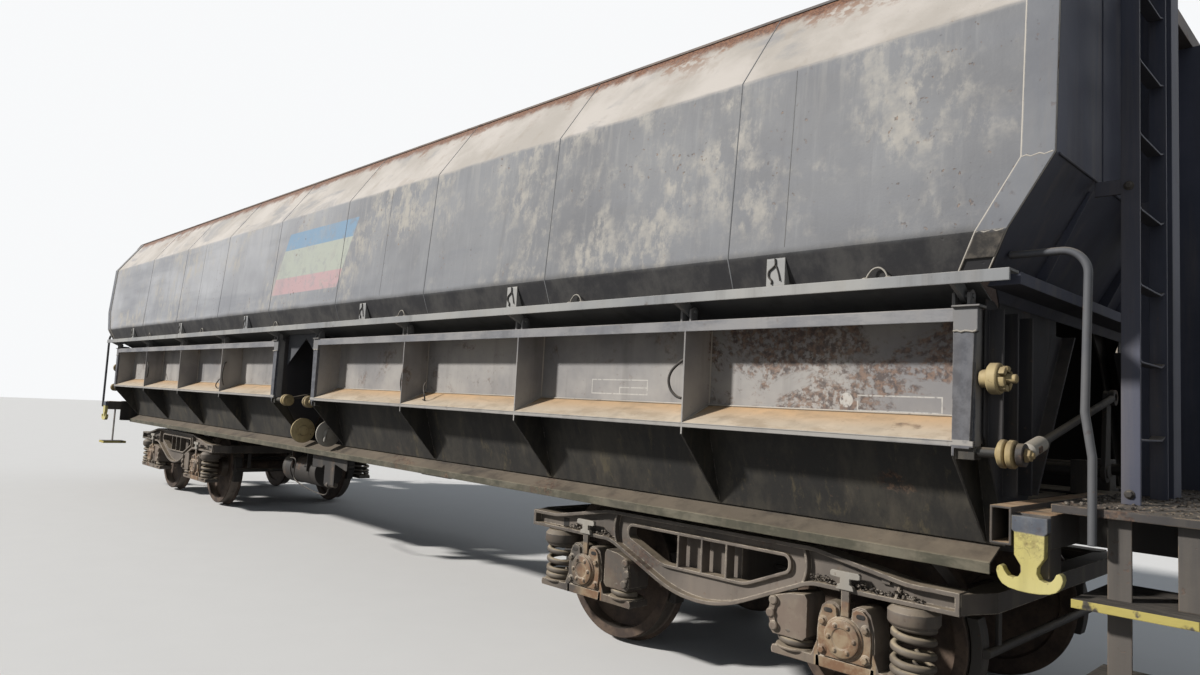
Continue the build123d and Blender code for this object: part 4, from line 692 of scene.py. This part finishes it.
def pin_nuts():
    """Thick stop nuts on the end plates, and the stepped collars and nuts on the doors' link pins."""
    fixed = Shape()
    for tag, s, e in CORNERS:
        def disc(x, profile, sides=32):
            fixed.lathe((e * x, s * 1.4, 1.68), (e, 0, 0), profile, sides)
        disc(6.226, [(0, 0.036), (0.036, 0.036)])
        disc(6.258, [(0, 0.056), (0.005, 0.062), (0.037, 0.062), (0.042, 0.057)])
        disc(6.3, [(0, 0.047), (0.006, 0.047), (0.007, 0.04)])
        crown(fixed, (e * 6.3005, s * 1.4, 1.68), e, 0.05, 0.025)
        disc(6.3, [(0, 0.018), (0.056, 0.018), (0.06, 0.013)], 16)
    fixed.done("stop_nuts", "yellow", slot="hook", bevel=0.0015)
    for tag, s, e in CORNERS:
        shape = Shape()

        def ring(x, profile, sides=32):
            shape.lathe((e * x, s * 1.405, 1.39), (e, 0, 0), profile, sides)
        inner = ((0.25, 0.03), (0.212, 0.026)) if e > 0 else ((0.232, 0.034), (0.19, 0.028))
        for x, thick in ((6.3, 0.026), (6.332, 0.028)) + inner:
            ring(x, [(0, 0.049), (0.005, 0.055), (thick - 0.005, 0.055), (thick, 0.049)])
        ring(6.29, [(0, 0.03), (0.072, 0.03)], 20)
        ring(inner[1][0] - 0.01, [(0, 0.026), (0.11, 0.026)], 20)
        ring(6.394, [(0, 0.03), (0.004, 0.03), (0.005, 0.024), (0.02, 0.024), (0.022, 0.016),
                     (0.03, 0.012)], 6)
        shape.done(f"door_nuts_{tag}", "yellow", body=f"door_{tag}", slot="hook")


def link_sleeves():
    """Fork sleeves with a cotter hole, riding on the outer link rods."""
    for tag, s, e in CORNERS:
        body = f"links_{tag}"
        sleeve, hole = Shape(), Shape()
        at = corner(e, s)
        eye = at(6.38, 1.405, 1.39)
        run = (at(6.38, 0.18, 1.66) - eye).normalized()
        sleeve.lathe(eye + run * 0.052, run, [(0, 0.024), (0.01, 0.032), (0.15, 0.032), (0.156, 0.027),
                                              (0.166, 0.02)], 22)
        up = Vector((e, 0, 0))
        # Dark discs paint the shade in the cotter holes.
        for d, high in ((0.12, 0.0035), (0.1, 0.0034)):
            hole.lathe(eye + run * d + up * 0.0295, up, [(0, 0.013), (high, 0.013)], 16)
        sleeve.done(f"link_sleeves_{tag}", "pale", body=body, slot="pale")
        hole.done(f"link_holes_{tag}", "dark", body=body)


# Wires on a door: points, radius and sides.
DOOR_WIRES = (
    (((4.715, 1.425, 1.76), (4.69, 1.432, 1.745), (4.64, 1.438, 1.7), (4.622, 1.44, 1.65),
      (4.636, 1.438, 1.6), (4.672, 1.434, 1.566), (4.705, 1.428, 1.555)), 0.0075, 10),
    (((1.905, 1.4, 1.76), (1.9, 1.425, 1.72), (1.89, 1.44, 1.6), (1.885, 1.42, 1.5)), 0.0065, 8),
    (((2.12, 1.36, 1.6), (2.135, 1.385, 1.56), (2.175, 1.4, 1.505), (2.165, 1.39, 1.468),
      (2.11, 1.37, 1.47)), 0.006, 8),
)
# Welds along a rib, sections of a stile cap and of the shelf, all as (y, z).
RIB_WELDS = (((1.25, 1.9485), (1.43, 1.9485)), ((1.25, 1.522), (1.43, 1.44)),
             ((1.234, 1.53), (1.234, 1.945)))
CAP = ((1.392, 1.96), (1.462, 1.96), (1.466, 1.964), (1.462, 1.97), (1.392, 1.97))
SHELF = ((1.4505, 1.424), (1.4505, 1.429), (1.444, 1.4335), (1.2305, 1.525), (1.2305, 1.4305),
         (1.44, 1.4305))


def door_fittings():
    """Wire handles, weld lines, sloping shelves and stile caps that ride on each door."""
    ribs = [6.136 - 1.405 * k for k in (1, 2, 3)]
    for tag, s, e in CORNERS:
        inner = 0.354 if e > 0 else 0.45
        wires, welds, caps, shelves = (Shape() for _ in range(4))
        at = corner(e, s)
        for points, radius, sides in DOOR_WIRES:
            wires.wire([at(*p) for p in points], radius, sides)
        for x in ribs:
            for d in (-0.008, 0.008):
                for a, b in RIB_WELDS:
                    welds.tube([at(x + d, *a), at(x + d, *b)], 0.004)
        welds.tube([at(6.13, 1.234, 1.529), at(inner + 0.09, 1.234, 1.529)], 0.005)
        for x0, x1 in ((6.13, 6.226), (inner, inner + 0.094)):
            a, b = at(x0 + 0.002, 1.4525, 1.866), at(x1 - 0.002, 1.4525, 1.864)
            wave = [a.lerp(b, k / 6) + Vector((0, 0, 0.003 * sin(2.3 * k))) for k in range(7)]
            welds.tube(wave, 0.0045)
            caps.prism([at(x0 - 0.002, *p) for p in CAP], (e * (x1 - x0 + 0.014), 0, 0))
        bays = [6.134] + ribs + [inner + 0.08]
        for k, (x1, x0) in enumerate(zip(bays, bays[1:])):
            a, b = x0 + (0.0052 if k < 3 else 0), x1 - (0.0052 if k else 0)
            shelves.prism([at(a, *p) for p in SHELF], (e * (b - a), 0, 0))
        body = f"door_{tag}"
        wires.done(f"door_wires_{tag}", "dark", body=body)
        welds.done(f"door_welds_{tag}", "weld", body=body, slot="door")
        shelves.done(f"door_shelves_{tag}", "door", body=body, slot="door")
        caps.done(f"stile_caps_{tag}", "door", body=body, slot="door", bevel=0.0015)


def end_bars():
    """Slanted stiffening bars along the inner edge of the chute end plates."""
    shape = Shape()
    lap = 0.014
    bar = ((0.935, 1.21), (0.437, 1.93), (0.437 + lap, 1.93), (0.935 + lap, 1.21))
    fill = ((0.8, 1.404), (0.437, 1.93), (0.6, 1.93), (0.85, 1.404))
    for tag, s, e in CORNERS:
        for x, outline, thick in ((6.228, bar, 0.059), (6.2285, fill, 0.004)):
            shape.prism([(e * x, s * y, z) for y, z in outline], (e * thick, 0, 0))
    shape.done("end_plate_bars", "gloom", slot="end", bevel=0.002)


# Bogie details

def capsule(a, b, radius, steps=6):
    """Outline of a rounded bar between two points of (x, z)."""
    a, b = Vector(a), Vector(b)
    run = (b - a).normalized()
    turn = atan2(run.y, run.x)
    out = []
    for centre, start in ((b, -90), (a, 90)):
        for k in range(steps + 1):
            t = turn + radians(start + 180 * k / steps)
            out.append((centre.x + radius * cos(t), centre.y + radius * sin(t)))
    return out


def mirrored(half, shared=0):
    """Outline from the half at +x; its last points may lie on the middle line and are shared."""
    return list(half) + [(-x, z) for x, z in half[:len(half) - shared][::-1]]


HOOK_HALF = ((0.0, 0.684), (0.046, 0.684), (0.04, 0.704), (0.025, 0.712), (0.024, 0.738), (0.066, 0.74),
             (0.0765, 0.744), (0.0765, 0.762), (0.068, 0.77), (0.0, 0.77))


def bogie_details():
    """Safety hooks, axle boxes, springs, brackets and grit of both bogies."""
    for end, e in ENDS:
        hooks, straps, gear, coils, holes, grit = (Shape() for _ in range(6))
        rng = random.Random(11 if e > 0 else 12)
        for s in (-1, 1):
            at = corner(e, s, PIVOTS[end])
            # Boss, gusset and end weld outside, and inside a near-black block as painted shade of a pocket.
            straps.block(at(1.06, 1.048, 0.74), at(1.1, 1.068, 0.78))
            straps.prism([at(1.135, 1.05, 0.69), at(1.135, 1.095, 0.69), at(1.135, 1.05, 0.752)],
                         (0.012, 0, 0))
            holes.block(at(-1.175, 1.046, 0.692), at(-1.125, 1.053, 0.745))
            for m in (-1, 1):
                x = m * AXLE_X
                tee = [(-d, z) for d, z in HOOK_HALF[5:0:-1]] + list(HOOK_HALF)
                tee += [(-d, z) for d, z in HOOK_HALF[-2:5:-1]]
                hooks.prism([at(x + d, 1.1, z) for d, z in tee], (0, s * 0.02, 0))
                straps.block(at(x - 0.02, 1.098, 0.56), at(x + 0.02, 1.112, 0.688))
                axle_box(gear, holes, at, x)
                outer_spring(gear, coils, at(x + m * 0.3, 1.03, 0), s)
                inner_spring(gear, coils, at, x - m * 0.3, m, s)
            for _ in range(420):
                heap = rng.choice((-1.02, -0.78, 0.74, 0.98, 1.16))
                u = rng.gauss(heap, 0.09)
                if 0.7 < abs(u) < 1.27:
                    rise = rng.random() * 0.034 * exp(-((u - heap) / 0.08) ** 2)
                    grit.stone(at(u, rng.uniform(1.056, 1.092), 0.691 + rise), rng.uniform(0.003, 0.01), rng)
        own = {"body": f"bogie_{end}", "slot": "cast"}
        hooks.done(f"safety_hooks_{end}", "pale", bevel=0.004, **own)
        straps.done(f"bogie_brackets_{end}", "bogie", bevel=0.002, **own)
        holes.done(f"bogie_holes_{end}", "soot", **own)
        grit.done(f"bogie_grit_{end}", "gravel", angle=60, **own)
        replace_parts(gear.done(f"axle_boxes_{end}", "bogie", bevel=0.004, **own), f"axle_gear_{end}")
        coils.done(f"springs_{end}", "spring", angle=60, **own)


def axle_box(shape, holes, at, x):
    """Cast axle box: broad faceted face with a notched top, round cover and the springs' wings."""
    out = at(0, 1, 0) - at(0, 0, 0)

    def prism(points, y0, y1):
        shape.prism([at(x + px, y0, pz) for px, pz in points], out * (y1 - y0))
    body = ((0.018, 0.545), (0.03, 0.562), (0.034, 0.6), (0.058, 0.615), (0.098, 0.613), (0.126, 0.59),
            (0.144, 0.53), (0.15, 0.47), (0.15, 0.345))
    face = ((0.026, 0.536), (0.04, 0.556), (0.044, 0.592), (0.062, 0.604), (0.094, 0.602), (0.116, 0.582),
            (0.132, 0.526), (0.138, 0.468), (0.134, 0.372), (0.11, 0.358))
    wing = ((0.13, 0.3), (0.4, 0.3), (0.405, 0.318), (0.398, 0.34), (0.175, 0.345), (0.145, 0.42))
    prism(mirrored(body), 0.955, 1.1)
    prism(mirrored(face), 1.1, 1.116)
    for m in (-1, 1):
        # Near-black slots paint the shade of the slotted holes.
        slot = capsule((m * 0.085 - 0.012, 0.575), (m * 0.085 + 0.012, 0.575), 0.011)
        holes.prism([at(x + px, 1.1155, pz) for px, pz in slot], out * 0.002)
        prism([(m * px, pz) for px, pz in wing], 0.95, 1.108)
        for z in (0.385, 0.52):
            shape.bolt(at(x + m * 0.112, 1.116, z), out, 0.03, 0.014)
    prism([(-0.15, 0.3), (0.15, 0.3), (0.15, 0.35), (-0.15, 0.35)], 0.95, 1.108)
    cover = ((0, 0.1), (0.01, 0.098), (0.014, 0.09), (0.024, 0.088), (0.028, 0.08), (0.028, 0.05),
             (0.024, 0.046), (0.024, 0.02))
    shape.lathe(at(x, 1.114, AXLE_Z), out, cover, 36)
    for k in range(6):
        a = tau * k / 6
        shape.bolt(at(x + 0.066 * cos(a), 1.142, AXLE_Z + 0.066 * sin(a)), out, 0.015, 0.006)


def coil(gear, coils, place, high, turns, s, radius=0.085, low=0.37, wire=0.018):
    """Coil of thick wire with its end turns pressed flat, on a round seat."""
    gear.lathe((place.x, place.y, 0.338), (0, 0, 1), [(0, 0.106), (0.01, 0.106), (0.013, 0.098)], 28)
    count = int(turns * 18)
    pts = []
    for k in range(count + 1):
        t = k / count
        a = t * turns * tau * s
        rise = 0.2 * t + 0.8 * t * t * (3 - 2 * t)
        pts.append((place.x + radius * cos(a), place.y + radius * sin(a),
                    low + (high - low) * rise))
    coils.tube(pts, wire, 10)


def outer_spring(gear, coils, place, s):
    """Tall coil between the wing and a round cast cap."""
    coil(gear, coils, place, 0.592, 4.9, s)
    cap = ((0, 0.108), (0.006, 0.112), (0.012, 0.116), (0.06, 0.116), (0.074, 0.104), (0.0845, 0.096))
    gear.lathe((place.x, place.y, 0.58), (0, 0, 1), cap, 32)


def inner_spring(gear, coils, at, x, m, s):
    """Low coil under a slanted box cap, with the lobed link in front of it."""
    out = at(0, 1, 0) - at(0, 0, 0)
    coil(gear, coils, at(x, 1.03, 0), 0.47, 2.2, s, radius=0.08)
    cap = ((0.085, 0.4), (0.105, 0.42), (0.105, 0.6), (0.09, 0.622), (0.000, 0.612), (-0.085, 0.588),
           (-0.105, 0.566), (-0.105, 0.42), (-0.085, 0.4))
    gear.prism([at(x + m * px, 0.955, pz) for px, pz in cap], out * 0.17)
    lobes = [(x + m * px, pz) for px, pz in ((-0.08, 0.565), (-0.095, 0.5), (-0.075, 0.44))]
    for a, b in zip(lobes, lobes[1:]):
        gear.prism([at(px, 1.124, pz) for px, pz in capsule(a, b, 0.016)], out * 0.014)
    for px, pz in lobes:
        gear.lathe(at(px, 1.124, pz), out, [(0, 0.024), (0.018, 0.024), (0.023, 0.018)], 18)


# Ends

def tow_hooks():
    """Forged double hooks below their blocks, rounded all over."""
    half = ((0.061, 1.172), (0.061, 1.12), (0.052, 1.112), (0.051, 1.03), (0.04, 1.012), (0.028, 0.994),
            (0.026, 0.972), (0.036, 0.954), (0.054, 0.946), (0.072, 0.95), (0.084, 0.965), (0.091, 0.981),
            (0.101, 0.985), (0.11, 0.977), (0.113, 0.962), (0.106, 0.938), (0.092, 0.919), (0.07, 0.908),
            (0.036, 0.902), (0.0, 0.9))
    shape = Shape()
    for x in (6.438, -6.405):
        for s in (-1, 1):
            shape.prism([(x + dx, s * 1.462, z) for dx, z in mirrored(half, 1)], (0, s * 0.038, 0))
    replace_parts(shape.done("tow_hook_forgings", "hook", slot="hook", bevel=0.006), "tow_hooks")


def ladder_bolts():
    """Bolts that hold the ladder's bars."""
    shape = Shape()
    for z in (1.26, 2.47, 3.43):
        for y, d in ((-1.056, -1), (-0.604, 1)):
            shape.bolt((6.65, y, z), (0, d, 0), 0.024, 0.012)
    shape.done("ladder_bolts", "dark", slot="end")


def end_fittings():
    """Beads and stiffeners of the end walls, bolts and rivets of the headstocks."""
    shape, bolts = Shape(), Shape()
    for end, e in ENDS:
        bead_x = e * (END_X + 0.001)
        for y in (-0.05, -0.95, 0.95):
            shape.tube([(bead_x, y, 2.51), (bead_x, y, 3.53)], 0.0045)
        shape.tube([(bead_x, -1.5, 2.511), (bead_x, 1.5, 2.511)], 0.006)
        for y in (-1.05, -0.15, 0.15, 1.05):
            a, b = (Vector((e * (END_X - END_SLOPE * (END_BEND_Z - z) + 0.0005), y, z)) for z in (2.47, 2.13))
            out = Vector((e * 0.86, 0, -0.5)) * 0.045
            shape.prism([a, b, b + out, a + out * 0.3], (0, 0.008, 0))
        face = HEADSTOCKS[end]
        for y in (-BUFFER_Y, BUFFER_Y):
            for dy in (-0.15, 0.15):
                for dz in (-0.12, 0.12):
                    bolts.bolt((face + e * 0.022, y + dy, BUFFER_Z + dz), (e, 0, 0), 0.03, 0.016)
        for y in (-1.2, -0.62, 0.62, 1.2):
            for z in (0.96, 1.14):
                bolts.lathe((face, y, z), (e, 0, 0), [(-0.002, 0.014), (0.004, 0.013), (0.009, 0.008)], 10)
    shape.done("end_wall_seams", "end", slot="end")
    bolts.done("buffer_bolts", "dark", slot="cast")


def buffers():
    """Flared feet, collar rings and fins on the buffer casings."""
    shape = Shape()
    for end, e in ENDS:
        face = HEADSTOCKS[end]
        for y in (-BUFFER_Y, BUFFER_Y):
            base = Vector((face + e * 0.022, y, BUFFER_Z))
            shape.lathe(base, (e, 0, 0), [(0, 0.126), (0.012, 0.124), (0.068, 0.106)], 36)
            for d, r, w in ((0.1, 0.108, 0.012), (0.2, 0.105, 0.01), (0.326, 0.112, 0.034)):
                profile = [(0, r - 0.006), (0.003, r), (w - 0.003, r), (w, r - 0.006)]
                shape.lathe((face + e * d, y, BUFFER_Z), (e, 0, 0), profile, 36)
            for k in range(4):
                a = tau * (k + 0.5) / 4
                d = Vector((0, cos(a), sin(a)))
                across = Vector((0, -sin(a), cos(a))) * 0.006
                shape.prism([base + d * 0.098 + across, base + d * 0.15 + across,
                             base + d * 0.098 + Vector((e * 0.13, 0, 0)) + across], across * -2)
    shape.done("buffer_collars", "dark", slot="cast", bevel=0.0015)


def platform():
    """Raised lozenges of the tread plate and grit on the platform."""
    plate, grit = Shape(), Shape()
    rng = random.Random(5)
    step = 0.045
    for i in range(-30, 31):
        for j in range(10):
            c = Vector((6.505 + j * step, i * step, 1.2195))
            if abs(i * step) > 1.37:
                continue
            a = radians(45 if (i + j) % 2 else -45)
            u, v = Vector((cos(a), sin(a), 0)), Vector((-sin(a), cos(a), 0))
            p = [c - u * 0.015, c - v * 0.0045, c + u * 0.015, c + v * 0.0045]
            top = [c.lerp(q, 0.6) + Vector((0, 0, 0.0035)) for q in p]
            plate.face_set(p + top, [(0, 1, 5, 4), (1, 2, 6, 5), (2, 3, 7, 6), (3, 0, 4, 7), (4, 5, 6, 7)])
    for _ in range(520):
        x = rng.uniform(6.5, 6.94)
        y = rng.uniform(-1.38, 1.38)
        if rng.random() < 0.45:
            x = rng.uniform(6.49, 6.56)
        grit.stone((x, y, 1.222), rng.uniform(0.003, 0.012), rng)
    plate.done("platform_tread", "floor", angle=20)
    grit.done("platform_grit", "gravel", angle=60)


def gap_details():
    """Discs, levers, wire and fitting in the middle gap."""
    discs, rims, rods, rusty = (Shape() for _ in range(4))
    face = ((0, 0.112), (0.005, 0.12), (0.018, 0.12), (0.023, 0.112), (0.024, 0.05), (0.04, 0.046),
            (0.044, 0.022))
    lever = ((0.27, 1.215, 1.14), (0.285, 1.235, 1.1), (0.3, 1.25, 1.06), (0.305, 1.255, 1.03))
    loop = ((-0.74, 0.8), (-0.61, 0.78), (-0.59, 0.59), (0.02, 0.51), (0.15, 0.58))
    socket = ((0, 0.022), (0.006, 0.026), (0.05, 0.026), (0.054, 0.034), (0.08, 0.034), (0.084, 0.024),
              (0.19, 0.022))
    for s in (-1, 1):
        discs.lathe((-0.298, s * 1.2, 1.1), (1, 0, 0), face, 40)
        rims.lathe((0.242, s * 1.2, 1.1), (1, 0, 0), face, 40)
        rims.wire([(x, s * y, z) for x, y, z in lever], 0.012)
        rods.wire([(x, s * 1.1, z) for x, z in loop], 0.006, steps=8)
        rusty.lathe((0.09, s * 1.1, 0.62), (1, 0, 0), socket, 16)
    discs.done("gap_discs", "yellow", slot="hook")
    rims.done("gap_rims", "pale", slot="pale")
    rods.done("gap_wires", "dark")
    rusty.done("gap_fittings", "bogie", slot="cast")


for make in (seam_beads, strap_beads, rail_fittings, pin_nuts, link_sleeves, door_fittings, end_bars,
             bogie_details, tow_hooks, ladder_bolts, end_fittings, buffers, platform, gap_details):
    make()


# Camera, light and floor

def look():
    """Camera solved from the photograph's straight edges."""
    eye, focal, photo_width = (7.193, -4.742, 1.527), 818.35, 1200
    yaw, pitch, roll = (radians(a) for a in (46.044, 4.691, 2.94))
    ahead = Vector((-sin(yaw) * cos(pitch), cos(yaw) * cos(pitch), sin(pitch)))
    right = ahead.cross(Vector((0, 0, 1))).normalized()
    up = right.cross(ahead)
    tilted = right * cos(roll) + up * sin(roll)
    top = up * cos(roll) - right * sin(roll)
    cam = in_scene("camera", bpy.data.cameras.new("camera"))
    cam.data.sensor_width = 36.0
    cam.data.lens = focal / photo_width * 36.0
    cam.data.clip_start, cam.data.clip_end = 0.05, 200
    basis = Matrix((tilted, top, -ahead)).transposed().to_4x4()
    cam.matrix_world = Matrix.Translation(eye) @ basis
    bpy.context.scene.camera = cam


def sun(name, place, energy, angle, colour):
    data = bpy.data.lights.new(name, "SUN")
    data.energy, data.color, data.angle = energy, colour, radians(angle)
    obj = in_scene(name, data)
    obj.location = place
    obj.rotation_euler = (-Vector(place)).to_track_quat("-Z", "Y").to_euler()


def sky():
    """Pale backdrop, weaker blue light for what it lights, and partly pale in reflections."""
    world = bpy.data.worlds.new("studio")
    bpy.context.scene.world = world
    tree = Tree(world)
    ray = tree.node("LightPath")
    seen = tree.node("Math", {0: ray["Is Camera Ray"], 1: ray["Is Transmission Ray"]}, operation="MAXIMUM")
    share = tree.node("Math", {0: ray["Is Glossy Ray"], 1: 0.6, 2: seen[0]},
                      operation="MULTIPLY_ADD", use_clamp=True)
    soft = tree.node("Background", {0: (0.78, 0.88, 1.0, 1), 1: 0.17})
    white = tree.node("Background", {0: (0.94, 0.95, 0.96, 1), 1: 1.0})
    pick = tree.node("MixShader", {0: share[0], 1: soft[0], 2: white[0]})
    tree.node("OutputWorld", {0: pick[0]})


def studio_floor():
    """Pale floor, darker for the light that it sends up."""
    floor = Paint("studio_floor")
    seen = floor.node("LightPath")["Is Camera Ray"]
    speck = floor.noise(3, 3)
    bright = floor.mix(speck, (0.78, 0.78, 0.77, 1), (0.81, 0.81, 0.8, 1))
    floor.finish(floor.mix(seen, (0.24, 0.235, 0.23, 1), bright), 0.9, speck, strength=0.02)
    mesh = bpy.data.meshes.new("studio_floor")
    r = 60.0
    mesh.from_pydata([(-r, -r, 0), (r, -r, 0), (r, r, 0), (-r, r, 0)], [], [(0, 1, 2, 3)])
    mesh.materials.append(floor.mat)
    obj = in_scene("studio_floor", mesh)
    obj.location.z = -0.001


look()
bpy.context.scene.view_settings.view_transform = "Standard"
sky()
studio_floor()
sun("key", (-6.8, -10, 7.2), 4.1, 4, (1.0, 0.965, 0.925))
sun("fill", (9, -8, 5), 0.09, 60, (0.85, 0.92, 1.0))
sun("back", (4, 10, 9), 0.25, 40, (0.95, 0.97, 1.0))
